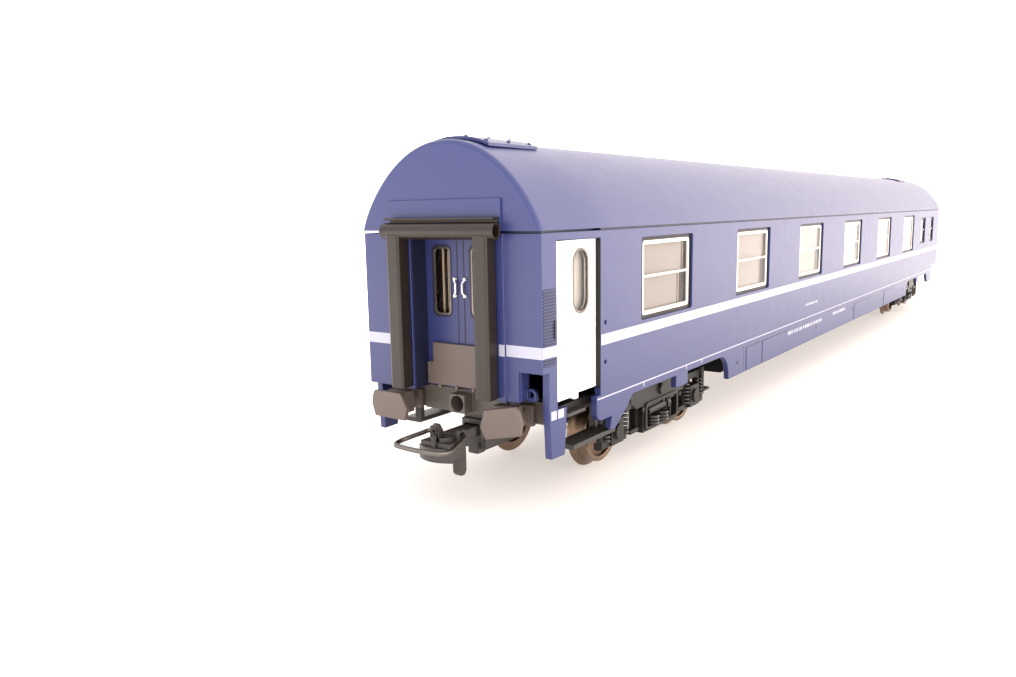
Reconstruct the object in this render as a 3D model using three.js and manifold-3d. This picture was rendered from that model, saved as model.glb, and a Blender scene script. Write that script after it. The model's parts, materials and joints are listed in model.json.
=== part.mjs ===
// H0 (1:87) sleeping coach: a plastic body shell and roof on a black underframe, two four-wheel
// bogies on pivot screws, and a sprung close coupler with a loop head at each end.
//
// Millimetres. +X runs along the coach, +Y across it, +Z up. The origin is on the floor under the
// coach's centre. The entrance doors are at the -X end and the corridor windows face -Y.
// "s" is the distance from the end wall at the -X end; "z" is the height above the floor.

import * as THREE from 'three';
import { mergeVertices } from 'three/addons/utils/BufferGeometryUtils.js';
import Module from 'manifold-3d';

const wasm = await Module();
wasm.setup();

// ---------------------------------------------------------------- driving dimensions

const BODY_L = 299.4;            // end wall to end wall
const HALF_W = 16.45;            // body half width over the side walls
const END_HALF_W = 15.6;         // body half width at the doors' end, where the sides draw in
const VESTIBULE_L = 13.6;        // length over which the sides draw in
const WALL = 1.0;                // thickness of sides, ends and skirts
const GAP = 0.05;                // clearance between fixed pieces that lie face to face

const SEAM_Z = 38.2;             // height of the joint between body and roof
const SEAM_GAP = 0.3;
const ROOF_RISE = 12.33;         // roof apex above the seam
const ROOF_THICK = 1.2;
const ROOF_BULGE = { across: 2.093, up: 0.795 };   // exponents of the roof's rounded section
const ROOF_OVERHANG = 0.4;       // roof beyond the end walls
const EAVE = 0.12;               // roof beyond the side walls
const ROOF_PAD_TOP = 42.6;       // top of the raised field where it runs on up the roof's ends
const ROOF_VENTS = { front: 2.2, rear: 269.5, length: 11.7 };
const SKIRT_Z = 8.2;             // lowest edge of the skirts
const ARCH_Z = 13.1;             // top of the bogie cut-outs in the skirts
const WALL_FOOT_Z = 15.7;        // lowest edge of the end walls and the door openings
const CORNER_NOTCH_Z = 19.9;     // top of the corner notch beside the gangway
const CORNER_NOTCH_Y = 11.8;     // the notch runs from here to the corner
const CORNER_DEPTH = 1.4;        // depth of the end wall's foot and of the notch
const DOOR_WELL_END = 12.6;      // end of the well under the entrance door
const RAIL_HOLES = { s: 15.0, heights: [19.36, 25.04], radius: 0.35 };
const OUTSIDE = 20;              // beyond the body on either side, for cutting tools

const PIVOT_S = 40.3;            // bogie pivot from the end wall
const HALF_WHEELBASE = 15.0;
const FLANGE_R = 6.25;           // the flanges stand on the floor, so this is the axle height
const TREAD_R = 5.3;
const WHEEL_OUT_Y = 10.0;        // outer face of a wheel
const WHEEL_IN_Y = 7.2;          // inner face of a wheel
const AXLE_R = 1.0;
const JOURNAL = { radius: 0.5, end: 11.7, start: 11.0, room: 0.12 };
const SIDE_FRAME_Y = 10.95;      // inner face of the bogies' side frames

const FLOOR_Z = 13.3;            // underside of the underframe's floor plate
const FLOOR_THICK = 1.2;
const MID_START = 66;            // equipment and ballast fill the floor from here to its mirror image
const RIB = { y: 6.5, half: 0.5, foot: 9.0 };      // stiffening ribs under the floor plate
const PIVOT_HOLE_R = 1.6;
const BOGIE_BOSS_R = 4.2;        // mating bosses of underframe and bogie
const BOGIE_BOSS_TOP = 12.7;
const SCREW_SHANK_R = 1.35;

const GLASS_OUT_Y = 16.05;       // outer face of the side windows' panes
const WIDE_WINDOW = { first: 26.15, pitch: 39.95, width: 19.0, low: 24.0, high: 36.6, count: 6 };
const SMALL_WINDOWS = [{ s: 258.8, width: 9.4 }, { s: 279.2, width: 7.2 }];
const CABIN_WINDOW = { first: 25.9, pitch: 20.1, width: 11.6, low: 24.0, high: 36.6, count: 12 };
const SMALL_LOW = 25.8;
const SMALL_HIGH = 35.4;
const WINDOW_CORNER = 0.35;      // corner radius of the side windows
const WINDOW_PLAY = 0.08;        // clearance of a pane in its opening

const DOOR = { low: 15.7, high: 37.0, start: 3.3, face: 15.7, thick: 0.8 };
const DOOR_WINDOW = { s: 9.4, halfWidth: 1.95, low: 27.05, high: 35.7 };

const NICHE_HALF_W = 6.4;        // recess of the gangway door
const NICHE_HIGH = 37.3;
const NICHE_DEPTH = 3.0;
const END_WINDOW = { inner: 1.85, outer: 4.95, low: 26.3, high: 36.1, corner: 0.7 };
const GANGWAY_DOOR_THICK = 0.7;
const PAD_THICK = 0.3;           // raised field on the end wall around the gangway
const PAD_HALF_W = 9.85;

const BUFFER_Y = 10.1;
const BUFFER_Z = 13.15;
const BUFFER_FACE_S = -2.0;
const BUFFER_TWIST = 12;         // the front right buffer sits turned in its socket
const HEADSTOCK_S = 3.2;         // front face of the buffer beam
const HEADSTOCK_THICK = 2.0;
const HEADSTOCK_STEP = 0.5;      // its wings lie this far behind its middle

const COUPLER_PIVOT_S = 14.0;    // pin on which the drawbar swings
const COUPLER_PIN_R = 0.9;
const COUPLER_SHANK = { end: 7.6, half: 1.2, low: 8.8, high: 10.2 };   // plugs into the drawbar
const LOOP_PIVOT = { s: -0.8, z: 10.2 };
const LOOP_WIRE_R = 0.35;

const sx = (s) => s - BODY_L / 2;

// ---------------------------------------------------------------- materials

const finish = (color, roughness, metalness = 0) =>
  new THREE.MeshStandardMaterial({ color, roughness, metalness });

const BODY_BLUE = finish(0x27307a, 0.45);
const DOOR_WHITE = finish(0xf4f4f2, 0.4);
const RUBBER_GREY = finish(0x4c4441, 0.7);
const CHASSIS_BLACK = finish(0x232222, 0.65);
const BOGIE_BLACK = finish(0x2a2928, 0.6);
const COUPLER_BLACK = finish(0x2c2b2a, 0.5);
const WHEEL_METAL = finish(0x6a5444, 0.4, 0.8);
const AXLE_STEEL = finish(0x8c8c8c, 0.35, 1);
const CLEAR = finish(0xe8ecec, 0.1);
CLEAR.transparent = true;
CLEAR.opacity = 0.35;
const INTERIOR_CREAM = finish(0xc9b998, 0.6);
const BALLAST_STEEL = finish(0x70706e, 0.5, 0.9);

// ---------------------------------------------------------------- solids

function toSolid(geometry) {
  const bare = geometry.clone();
  bare.deleteAttribute('normal');
  bare.deleteAttribute('uv');
  const merged = mergeVertices(bare, 1e-5);
  const vertProperties = new Float32Array(merged.attributes.position.array);
  const triVerts = new Uint32Array(merged.index.array);
  return new wasm.Manifold(new wasm.Mesh({ numProp: 3, vertProperties, triVerts }));
}

function toGeometry(solid) {
  const mesh = solid.getMesh();
  const geometry = new THREE.BufferGeometry();
  geometry.setAttribute('position', new THREE.BufferAttribute(new Float32Array(mesh.vertProperties), 3));
  geometry.setIndex(new THREE.BufferAttribute(new Uint32Array(mesh.triVerts), 1));
  geometry.computeVertexNormals();
  return geometry;
}

const join = (...pieces) => pieces.reduce((whole, piece) => whole.add(piece));
const cut = (base, ...tools) => tools.reduce((rest, tool) => rest.subtract(tool), base);

// Box between two corners; x is given as s.
function block(s0, s1, y0, y1, z0, z1) {
  const geometry = new THREE.BoxGeometry(s1 - s0, y1 - y0, z1 - z0);
  geometry.translate(sx((s0 + s1) / 2), (y0 + y1) / 2, (z0 + z1) / 2);
  return toSolid(geometry);
}

function shapeOf(points) {
  return new THREE.Shape(points.map(([a, b]) => new THREE.Vector2(a, b)));
}

// Outline in (s, z), extruded across the coach from y0 to y1.
function sideProfile(shape, y0, y1, curveSegments = 6) {
  const geometry = new THREE.ExtrudeGeometry(shape, { depth: y1 - y0, bevelEnabled: false, curveSegments });
  geometry.rotateX(Math.PI / 2);
  geometry.translate(sx(0), y1, 0);
  return toSolid(geometry);
}

// Outline in (y, z), extruded along the coach from s0 to s1.
function endProfile(shape, s0, s1, curveSegments = 6) {
  const geometry = new THREE.ExtrudeGeometry(shape, { depth: s1 - s0, bevelEnabled: false, curveSegments });
  geometry.rotateX(Math.PI / 2);
  geometry.rotateZ(Math.PI / 2);
  geometry.translate(sx(s0), 0, 0);
  return toSolid(geometry);
}

// Outline in (s, y), extruded upwards from z0 to z1.
function planProfile(shape, z0, z1, curveSegments = 6) {
  const geometry = new THREE.ExtrudeGeometry(shape, { depth: z1 - z0, bevelEnabled: false, curveSegments });
  geometry.translate(sx(0), 0, z0);
  return toSolid(geometry);
}

// Upright cylinder.
function post(s, y, z0, z1, radius, sides = 12) {
  const geometry = new THREE.CylinderGeometry(radius, radius, z1 - z0, sides);
  geometry.rotateX(Math.PI / 2);
  geometry.translate(sx(s), y, (z0 + z1) / 2);
  return toSolid(geometry);
}

// Cylinder lying along the coach.
function rodAlong(s0, s1, y, z, radius, sides = 12) {
  const geometry = new THREE.CylinderGeometry(radius, radius, s1 - s0, sides);
  geometry.rotateZ(Math.PI / 2);
  geometry.translate(sx((s0 + s1) / 2), y, z);
  return toSolid(geometry);
}

// Cylinder lying across the coach.
function rodAcross(s, y0, y1, z, radius, sides = 12) {
  const geometry = new THREE.CylinderGeometry(radius, radius, y1 - y0, sides);
  geometry.translate(sx(s), (y0 + y1) / 2, z);
  return toSolid(geometry);
}

// Rectangle with rounded corners, as an outline in the plane of the profile.
function roundedRect(a0, a1, b0, b1, r) {
  const shape = new THREE.Shape();
  shape.moveTo(a0 + r, b0);
  shape.lineTo(a1 - r, b0);
  shape.absarc(a1 - r, b0 + r, r, -Math.PI / 2, 0);
  shape.lineTo(a1, b1 - r);
  shape.absarc(a1 - r, b1 - r, r, 0, Math.PI / 2);
  shape.lineTo(a0 + r, b1);
  shape.absarc(a0 + r, b1 - r, r, Math.PI / 2, Math.PI);
  shape.lineTo(a0, b0 + r);
  shape.absarc(a0 + r, b0 + r, r, Math.PI, 1.5 * Math.PI);
  return shape;
}

const mirrorY = (solid) => solid.mirror([0, 1, 0]);
const mirrorX = (solid) => solid.mirror([1, 0, 0]);

// ---------------------------------------------------------------- assembly

const coach = new THREE.Group();

function addNode(name, solid, material, parent = coach) {
  const mesh = new THREE.Mesh(toGeometry(solid), material);
  mesh.name = name;
  parent.add(mesh);
  return mesh;
}

// The far end repeats the near end, turned half a turn about the vertical axis.
const nearEnd = new THREE.Group();
const farEnd = new THREE.Group();
farEnd.rotation.z = Math.PI;
coach.add(nearEnd, farEnd);

function addAtBothEnds(baseName, solid, material) {
  addNode(`${baseName}_front`, solid, material, nearEnd);
  addNode(`${baseName}_rear`, solid, material, farEnd);
}

// ---------------------------------------------------------------- body shell

// Plan outline of the body, drawn in by "inset" all round; the sides narrow over the vestibule.
function bodyPlan(inset) {
  const endY = END_HALF_W - inset;
  const fullY = HALF_W - inset;
  return shapeOf([
    [inset, -endY], [VESTIBULE_L, -fullY], [BODY_L - inset, -fullY],
    [BODY_L - inset, fullY], [VESTIBULE_L, fullY], [inset, endY],
  ]);
}

// Everything that is open below the sills, as one outline in (s, z): door well, bogie cut-outs
// with their hanging tab, the sweep down to the skirt, and the raised far end.
function skirtOpening() {
  const below = SKIRT_Z - 2;
  const sweep = { outer: 59.6, inner: 63.1, shoulder: 12.2 };
  const tab = { start: 39.2, end: 43.95, foot: 11.0 };
  const archStart = 23.5;
  const mirrored = (s) => BODY_L - s;
  const outline = new THREE.Shape();
  // Behind the door well: rounded corner, short level edge, pointed toe and the rise to the arch.
  const near = { level: 11.0, shoulder: 12.2, round: 14.1, levelEnd: 17.0 };
  outline.moveTo(DOOR_WELL_END, below);
  outline.lineTo(DOOR_WELL_END, near.shoulder);
  outline.quadraticCurveTo(DOOR_WELL_END + 0.2, near.level, near.round, near.level);
  outline.lineTo(near.levelEnd, near.level);
  for (const [s, z] of [[16.4, 9.3], [17.5, 8.7], [21.6, 11.4]]) {
    outline.lineTo(s, z);
  }
  outline.lineTo(archStart, ARCH_Z);
  outline.lineTo(tab.start, ARCH_Z);
  outline.lineTo(tab.start, tab.foot);
  outline.lineTo(tab.end, tab.foot);
  outline.lineTo(tab.end, ARCH_Z);
  outline.lineTo(sweep.outer, ARCH_Z);
  outline.quadraticCurveTo(sweep.inner, sweep.shoulder, sweep.inner, SKIRT_Z);
  outline.lineTo(mirrored(sweep.inner), SKIRT_Z);
  outline.quadraticCurveTo(mirrored(sweep.inner), sweep.shoulder, mirrored(sweep.outer), ARCH_Z);
  outline.lineTo(mirrored(tab.end), ARCH_Z);
  outline.lineTo(mirrored(tab.end), tab.foot);
  outline.lineTo(mirrored(tab.start), tab.foot);
  outline.lineTo(mirrored(tab.start), ARCH_Z);
  outline.lineTo(mirrored(archStart), ARCH_Z);
  // The far end stands on a straight skirt and is then raised to the foot of its end wall.
  const far = { start: 20.2, end: 12.4, low: 9.5, raised: 11.4 };
  outline.lineTo(mirrored(far.start), far.low);
  outline.lineTo(mirrored(far.end), far.low);
  outline.lineTo(mirrored(far.raised), WALL_FOOT_Z);
  outline.lineTo(mirrored(-1), WALL_FOOT_Z);
  outline.lineTo(mirrored(-1), below);
  return outline;
}

// The well under the entrance door, between the corner leg and the skirt.
function doorWell() {
  const below = SKIRT_Z - 2;
  const leg = { top: [CORNER_DEPTH, 5.5], foot: [1.8, 4.8] };
  return shapeOf([
    [-1, below], [-1, WALL_FOOT_Z], [leg.top[0], WALL_FOOT_Z], [leg.foot[0], SKIRT_Z],
    [leg.foot[1], SKIRT_Z], [leg.top[1], WALL_FOOT_Z], [DOOR_WELL_END, WALL_FOOT_Z],
    [DOOR_WELL_END, below],
  ]);
}

function windowHoles() {
  const inside = HALF_W - 4;
  const holes = [];
  const through = (s, width, low, high, y0, y1) =>
    holes.push(sideProfile(roundedRect(s, s + width, low, high, WINDOW_CORNER), y0, y1, 1));
  for (let i = 0; i < WIDE_WINDOW.count; i += 1) {
    const s = WIDE_WINDOW.first + i * WIDE_WINDOW.pitch;
    through(s, WIDE_WINDOW.width, WIDE_WINDOW.low, WIDE_WINDOW.high, -OUTSIDE, -inside);
  }
  for (let i = 0; i < CABIN_WINDOW.count; i += 1) {
    const s = CABIN_WINDOW.first + i * CABIN_WINDOW.pitch;
    through(s, CABIN_WINDOW.width, CABIN_WINDOW.low, CABIN_WINDOW.high, inside, OUTSIDE);
  }
  for (const { s, width } of SMALL_WINDOWS) {
    through(s, width, SMALL_LOW, SMALL_HIGH, -OUTSIDE, -inside);
  }
  const last = SMALL_WINDOWS[1];
  through(last.s, last.width, SMALL_LOW, SMALL_HIGH, inside, OUTSIDE);
  return holes;
}

// Raised field and recess walls of one gangway, at the near end.
function gangwaySurround() {
  const pad = block(-PAD_THICK, WALL, -PAD_HALF_W, PAD_HALF_W, WALL_FOOT_Z, SEAM_Z - SEAM_GAP / 2);
  const sleeveWall = 0.8;
  const sleeveW = NICHE_HALF_W + sleeveWall;
  const sleeve = block(0.5, NICHE_DEPTH - GAP, -sleeveW, sleeveW, WALL_FOOT_Z, SEAM_Z - SEAM_GAP / 2);
  return join(pad, sleeve);
}

function gangwayHole() {
  return block(-1, NICHE_DEPTH + 1, -NICHE_HALF_W, NICHE_HALF_W, WALL_FOOT_Z - 1, NICHE_HIGH);
}

// Blue round-topped lug with a lamp hole that stands in the corner notch.
function lampBracket() {
  const lug = { y: -12.45, z: 16.6, radius: 0.85, bore: 0.45, front: 1.8, back: 2.5 };
  const foot = block(lug.front, lug.back, lug.y - lug.radius, lug.y + lug.radius, WALL_FOOT_Z, lug.z);
  const crown = rodAlong(lug.front, lug.back, lug.y, lug.z, lug.radius, 16);
  const web = block(0.5, lug.back - 0.1, -11.9, -11.4, WALL_FOOT_Z + 0.2, 21.0);
  return cut(join(foot, crown, web), rodAlong(0, 3, lug.y, lug.z, lug.bore, 12));
}

function bodyShell() {
  const top = SEAM_Z - SEAM_GAP / 2;
  const halfTurn = (solid) => mirrorX(mirrorY(solid));
  let shell = planProfile(bodyPlan(0), SKIRT_Z, top);
  shell = cut(shell, planProfile(bodyPlan(WALL), SKIRT_Z - 1, top + 1));
  shell = cut(shell, sideProfile(skirtOpening(), -OUTSIDE, OUTSIDE));
  shell = cut(shell, sideProfile(doorWell(), -OUTSIDE, OUTSIDE));
  // The end walls stop at their foot, and one corner of each end has a notch above it.
  const belowWall = block(-1, CORNER_DEPTH, -OUTSIDE, OUTSIDE, 0, WALL_FOOT_Z);
  const notch = block(-1, CORNER_DEPTH, -OUTSIDE, -CORNER_NOTCH_Y, 0, CORNER_NOTCH_Z);
  shell = cut(shell, belowWall, halfTurn(belowWall), notch, halfTurn(notch));
  const surround = gangwaySurround();
  const bracket = lampBracket();
  shell = join(shell, surround, halfTurn(surround), bracket, halfTurn(bracket));
  shell = cut(shell, gangwayHole(), halfTurn(gangwayHole()));
  const doorHole = block(DOOR.start, VESTIBULE_L, -OUTSIDE, 4 - HALF_W, DOOR.low - 1, DOOR.high);
  shell = cut(shell, doorHole, mirrorY(doorHole), ...windowHoles());
  // Holes for the entrance door's hand rails.
  for (const z of RAIL_HOLES.heights) {
    const hole = rodAcross(RAIL_HOLES.s, HALF_W - 2, OUTSIDE, z, RAIL_HOLES.radius, 8);
    shell = cut(shell, hole, mirrorY(hole));
  }
  return shell;
}

addNode('body_shell', bodyShell(), BODY_BLUE);

// ---------------------------------------------------------------- roof

// Half-round section: height above the seam at a distance y from the centre.
function roofHeight(y, halfWidth, rise) {
  const share = Math.min(Math.abs(y) / halfWidth, 1);
  return rise * (1 - share ** ROOF_BULGE.across) ** ROOF_BULGE.up;
}

function roofSection(halfWidth, rise, base) {
  const steps = 28;
  const points = [];
  for (let i = 0; i <= steps; i += 1) {
    const angle = Math.PI * (i / steps);
    const y = halfWidth * Math.cos(angle);
    points.push([y, base + roofHeight(y, halfWidth, rise)]);
  }
  return points;
}

// Closed body through equal outlines in (y, z), each at its own s.
function loft(sections) {
  const count = sections[0].outline.length;
  const positions = [];
  for (const { s, outline } of sections) {
    for (const [y, z] of outline) {
      positions.push(sx(s), y, z);
    }
  }
  const index = [];
  for (let k = 0; k + 1 < sections.length; k += 1) {
    for (let i = 0; i < count; i += 1) {
      const a = k * count + i;
      const b = k * count + (i + 1) % count;
      index.push(a, b, a + count, b, b + count, a + count);
    }
  }
  const cap = THREE.ShapeUtils.triangulateShape(
    sections[0].outline.map(([y, z]) => new THREE.Vector2(y, z)), []);
  const last = (sections.length - 1) * count;
  for (const [a, b, c] of cap) {
    index.push(c, b, a);
    index.push(last + a, last + b, last + c);
  }
  const geometry = new THREE.BufferGeometry();
  geometry.setAttribute('position', new THREE.BufferAttribute(new Float32Array(positions), 3));
  geometry.setIndex(index);
  return toSolid(geometry);
}

function roof() {
  const base = SEAM_Z + SEAM_GAP / 2;
  const rise = ROOF_RISE - SEAM_GAP / 2;
  const fullW = HALF_W + EAVE;
  const endW = END_HALF_W + EAVE;
  const outer = loft([
    { s: -ROOF_OVERHANG, outline: roofSection(endW, rise, base) },
    { s: VESTIBULE_L, outline: roofSection(fullW, rise, base) },
    { s: BODY_L + ROOF_OVERHANG, outline: roofSection(fullW, rise, base) },
  ]);
  const inside = (width) => roofSection(width - ROOF_THICK, rise - ROOF_THICK, base - 1);
  const hollow = loft([
    { s: ROOF_THICK, outline: inside(endW) },
    { s: VESTIBULE_L, outline: inside(fullW) },
    { s: BODY_L - ROOF_THICK, outline: inside(fullW) },
  ]);
  const pad = block(-ROOF_OVERHANG - PAD_THICK, 0, -PAD_HALF_W, PAD_HALF_W, base, ROOF_PAD_TOP);
  const farPad = mirrorX(mirrorY(pad));
  return cut(join(outer, pad, farPad), hollow);
}

addNode('roof', roof(), BODY_BLUE);

// Low ventilation plate that follows the roof's curve.
function roofVent(s0, s1) {
  const halfWidth = 6.0;
  const steps = 8;
  const lift = 0.5;
  const points = [];
  const base = SEAM_Z + SEAM_GAP / 2 + GAP;
  const rise = ROOF_RISE - SEAM_GAP / 2;
  for (let i = 0; i <= steps; i += 1) {
    const y = halfWidth - (2 * halfWidth * i) / steps;
    points.push([y, base + roofHeight(y, HALF_W, rise) + lift]);
  }
  for (let i = steps; i >= 0; i -= 1) {
    const y = halfWidth - (2 * halfWidth * i) / steps;
    points.push([y, base + roofHeight(y, HALF_W + EAVE, rise)]);
  }
  return endProfile(shapeOf(points), s0, s1);
}

addNode('roof_vent_front', roofVent(ROOF_VENTS.front, ROOF_VENTS.front + ROOF_VENTS.length), BODY_BLUE);
addNode('roof_vent_rear', roofVent(ROOF_VENTS.rear, ROOF_VENTS.rear + ROOF_VENTS.length), BODY_BLUE);

// ---------------------------------------------------------------- windows and doors

// Clear strip behind a side wall, with a pane standing in each window opening.
function glazingStrip(windows) {
  const outY = HALF_W - WALL - GAP;
  const backY = outY - 0.7;
  const rim = 0.9;
  const strip = block(VESTIBULE_L + 1.2, BODY_L - 3, backY, outY,
    WIDE_WINDOW.low - rim, WIDE_WINDOW.high + rim);
  const panes = windows.map(({ s, width, low, high }) => {
    const outline = roundedRect(s + WINDOW_PLAY, s + width - WINDOW_PLAY, low + WINDOW_PLAY,
      high - WINDOW_PLAY, WINDOW_CORNER);
    return sideProfile(outline, backY + 0.2, GLASS_OUT_Y, 1);
  });
  return join(strip, ...panes);
}

const corridorWindows = Array.from({ length: WIDE_WINDOW.count }, (_, i) => ({
  s: WIDE_WINDOW.first + i * WIDE_WINDOW.pitch,
  width: WIDE_WINDOW.width,
  low: WIDE_WINDOW.low,
  high: WIDE_WINDOW.high,
}));
const smallWindows = SMALL_WINDOWS.map(({ s, width }) => ({ s, width, low: SMALL_LOW, high: SMALL_HIGH }));
const cabinWindows = Array.from({ length: CABIN_WINDOW.count }, (_, i) => ({
  s: CABIN_WINDOW.first + i * CABIN_WINDOW.pitch,
  width: CABIN_WINDOW.width,
  low: CABIN_WINDOW.low,
  high: CABIN_WINDOW.high,
}));

addNode('glazing_corridor', mirrorY(glazingStrip([...corridorWindows, ...smallWindows])), CLEAR);
addNode('glazing_cabins', glazingStrip([...cabinWindows, smallWindows[1]]), CLEAR);

// Entrance door leaf with its round-ended window and a foot tab.
function entranceDoor() {
  const s0 = DOOR.start + GAP;
  const s1 = VESTIBULE_L - GAP;
  const tab = { start: 7.4, end: 8.7, drop: 0.45 };
  const leaf = sideProfile(shapeOf([
    [s0, DOOR.low], [tab.start, DOOR.low], [tab.start + 0.25, DOOR.low - tab.drop],
    [tab.end, DOOR.low - tab.drop], [tab.end, DOOR.low + 0.35], [s1, DOOR.low + 0.35],
    [s1, DOOR.high - GAP], [s0, DOOR.high - GAP],
  ]), DOOR.face - DOOR.thick, DOOR.face);
  const { s, halfWidth, low, high } = DOOR_WINDOW;
  const light = roundedRect(s - halfWidth, s + halfWidth, low, high, halfWidth - 0.01);
  return cut(leaf, sideProfile(light, 0, OUTSIDE));
}

function doorGlazing() {
  const { s, halfWidth, low, high } = DOOR_WINDOW;
  const play = WINDOW_PLAY;
  const rim = 1.05;
  const backY = DOOR.face - DOOR.thick - 0.5;
  const backing = block(s - halfWidth - rim, s + halfWidth + rim, backY, DOOR.face - DOOR.thick - GAP,
    low - rim, high + 0.6);
  const light = roundedRect(s - halfWidth + play, s + halfWidth - play, low + play, high - play,
    halfWidth - play - 0.01);
  return join(backing, sideProfile(light, backY + 0.1, DOOR.face - 0.3));
}

addNode('entrance_door_left', entranceDoor(), DOOR_WHITE);
addNode('entrance_door_right', mirrorY(entranceDoor()), DOOR_WHITE);
addNode('door_glazing_left', doorGlazing(), CLEAR);
addNode('door_glazing_right', mirrorY(doorGlazing()), CLEAR);

// Two-leaf gangway door with a tall light in each leaf and grooves at the meeting edge.
function gangwayDoor() {
  const s0 = NICHE_DEPTH;
  const halfW = NICHE_HALF_W + 0.7;
  const groove = { y: 0.58, half: 0.09, depth: 0.25, foot: 22.5 };
  let door = block(s0, s0 + GANGWAY_DOOR_THICK, -halfW, halfW, WALL_FOOT_Z + 0.2, NICHE_HIGH + 0.6);
  for (const side of [-1, 1]) {
    const a = Math.min(side * END_WINDOW.inner, side * END_WINDOW.outer);
    const b = Math.max(side * END_WINDOW.inner, side * END_WINDOW.outer);
    const light = roundedRect(a, b, END_WINDOW.low, END_WINDOW.high, END_WINDOW.corner);
    const grooveY = side * groove.y;
    door = cut(door, endProfile(light, s0 - 1, s0 + 2, 3));
    door = cut(door, block(s0 - 1, s0 + groove.depth, grooveY - groove.half, grooveY + groove.half,
      groove.foot, NICHE_HIGH));
  }
  return door;
}

function gangwayDoorGlazing() {
  const s0 = NICHE_DEPTH + GANGWAY_DOOR_THICK + GAP;
  const play = WINDOW_PLAY;
  const halfW = END_WINDOW.outer + 1.25;
  let glazing = block(s0, s0 + 0.6, -halfW, halfW, END_WINDOW.low - 1, END_WINDOW.high + 0.9);
  for (const side of [-1, 1]) {
    const a = Math.min(side * END_WINDOW.inner, side * END_WINDOW.outer) + play;
    const b = Math.max(side * END_WINDOW.inner, side * END_WINDOW.outer) - play;
    const light = roundedRect(a, b, END_WINDOW.low + play, END_WINDOW.high - play,
      END_WINDOW.corner - 0.1);
    glazing = join(glazing, endProfile(light, NICHE_DEPTH + 0.25, s0 + 0.1, 3));
  }
  return glazing;
}

addAtBothEnds('gangway_door', gangwayDoor(), BODY_BLUE);
addAtBothEnds('gangway_door_glazing', gangwayDoorGlazing(), CLEAR);

// ---------------------------------------------------------------- gangway, footplate, headstock, buffers

// Rubber tube gangway: two upright rolls under a wider horizontal one that is open at its ends.
function gangwayRubber() {
  const roll = { front: -2.7, back: -0.7, low: 37.25, high: 39.5, halfLength: 9.9, wall: 0.3 };
  const side = { front: -2.65, back: -PAD_THICK - GAP, inner: 6.45, outer: 8.85, corner: 0.45, foot: 16.1 };
  const lip = { front: -2.1, back: -0.7, halfLength: 9.6, low: 39.85, high: 40.15 };
  const uprightTop = roll.low + 0.6;
  const boreDepth = 2.0;
  const upright = planProfile(roundedRect(side.front, side.back, side.inner, side.outer, side.corner),
    side.foot, uprightTop, 4);
  const oval = (wall) => {
    const shape = new THREE.Shape();
    shape.absellipse((roll.front + roll.back) / 2, (roll.high + roll.low) / 2,
      (roll.back - roll.front) / 2 - wall, (roll.high - roll.low) / 2 - wall, 0, 2 * Math.PI, false, 0);
    return shape;
  };
  const tube = sideProfile(oval(0), -roll.halfLength, roll.halfLength, 8);
  const endBore = sideProfile(oval(roll.wall), roll.halfLength - boreDepth, roll.halfLength + 1, 8);
  const lipTop = block(lip.front, lip.back, -lip.halfLength, lip.halfLength, lip.low, lip.high);
  const lipWeb = block(lip.back - 0.25, lip.back, -lip.halfLength, lip.halfLength, roll.high - 1, lip.high);
  const whole = join(tube, upright, mirrorY(upright), lipTop, lipWeb);
  return cut(whole, endBore, mirrorY(endBore));
}

// Footplate folded up in front of the gangway door.
function footplate() {
  const foot = { halfWidth: 6.1, low: 16.2, high: 19.4 };
  const upper = { halfWidth: 4.95, high: 22.3 };
  const thick = 0.65;
  const back = NICHE_DEPTH - GAP;
  const broad = block(back - thick, back, -foot.halfWidth, foot.halfWidth, foot.low, foot.high);
  const narrow = block(back - thick, back, -upper.halfWidth, upper.halfWidth, foot.low, upper.high);
  return join(broad, narrow);
}

// Buffer beam with the draw hook's socket.
function headstock() {
  const front = HEADSTOCK_S;
  const back = HEADSTOCK_S + HEADSTOCK_THICK;
  const foot = 12.2;
  const wing = { halfWidth: 14.0, high: 15.3 };
  const middle = { halfWidth: 7.55, high: 15.8 };
  const socket = { front: 1.4, half: 1.4, low: 12.6, holeZ: 13.95, holeR: 1.15 };
  const beam = join(
    block(front, back, -middle.halfWidth, middle.halfWidth, foot, middle.high),
    block(front + HEADSTOCK_STEP, back, -wing.halfWidth, wing.halfWidth, foot, wing.high),
    block(socket.front, back, -socket.half, socket.half, socket.low, wing.high));
  return cut(beam, rodAlong(socket.front - 1, front + 1.2, 0, socket.holeZ, socket.holeR, 16));
}

// Buffer at +Y: a broad head with bowed sides, turned by "twist" degrees in its socket.
function buffer(twist = 0) {
  const turn = THREE.MathUtils.degToRad(twist);
  const outline = [
    [-2.3, 2.03], [-3.53, -0.2], [-3.0, -1.93], [2.8, -1.88], [3.42, -0.1], [3.3, 1.1], [2.85, 2.0],
  ].map(([u, v]) => [
    BUFFER_Y + u * Math.cos(turn) - v * Math.sin(turn),
    BUFFER_Z + u * Math.sin(turn) + v * Math.cos(turn),
  ]);
  const back = HEADSTOCK_S + HEADSTOCK_STEP - GAP;
  const head = endProfile(shapeOf(outline), BUFFER_FACE_S, BUFFER_FACE_S + 0.7);
  const plunger = rodAlong(BUFFER_FACE_S + 0.5, 0, BUFFER_Y, BUFFER_Z, 1.0, 12);
  const housing = block(-0.8, 1.2, BUFFER_Y - 2.2, BUFFER_Y + 1.4, BUFFER_Z - 1.2, BUFFER_Z + 2.0);
  const sleeve = rodAlong(1.0, back, BUFFER_Y, BUFFER_Z, 1.35, 12);
  const base = block(back - 0.8, back, BUFFER_Y - 1.9, BUFFER_Y + 1.9, BUFFER_Z - 1.2, BUFFER_Z + 1.7);
  return join(head, plunger, housing, sleeve, base);
}

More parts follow.
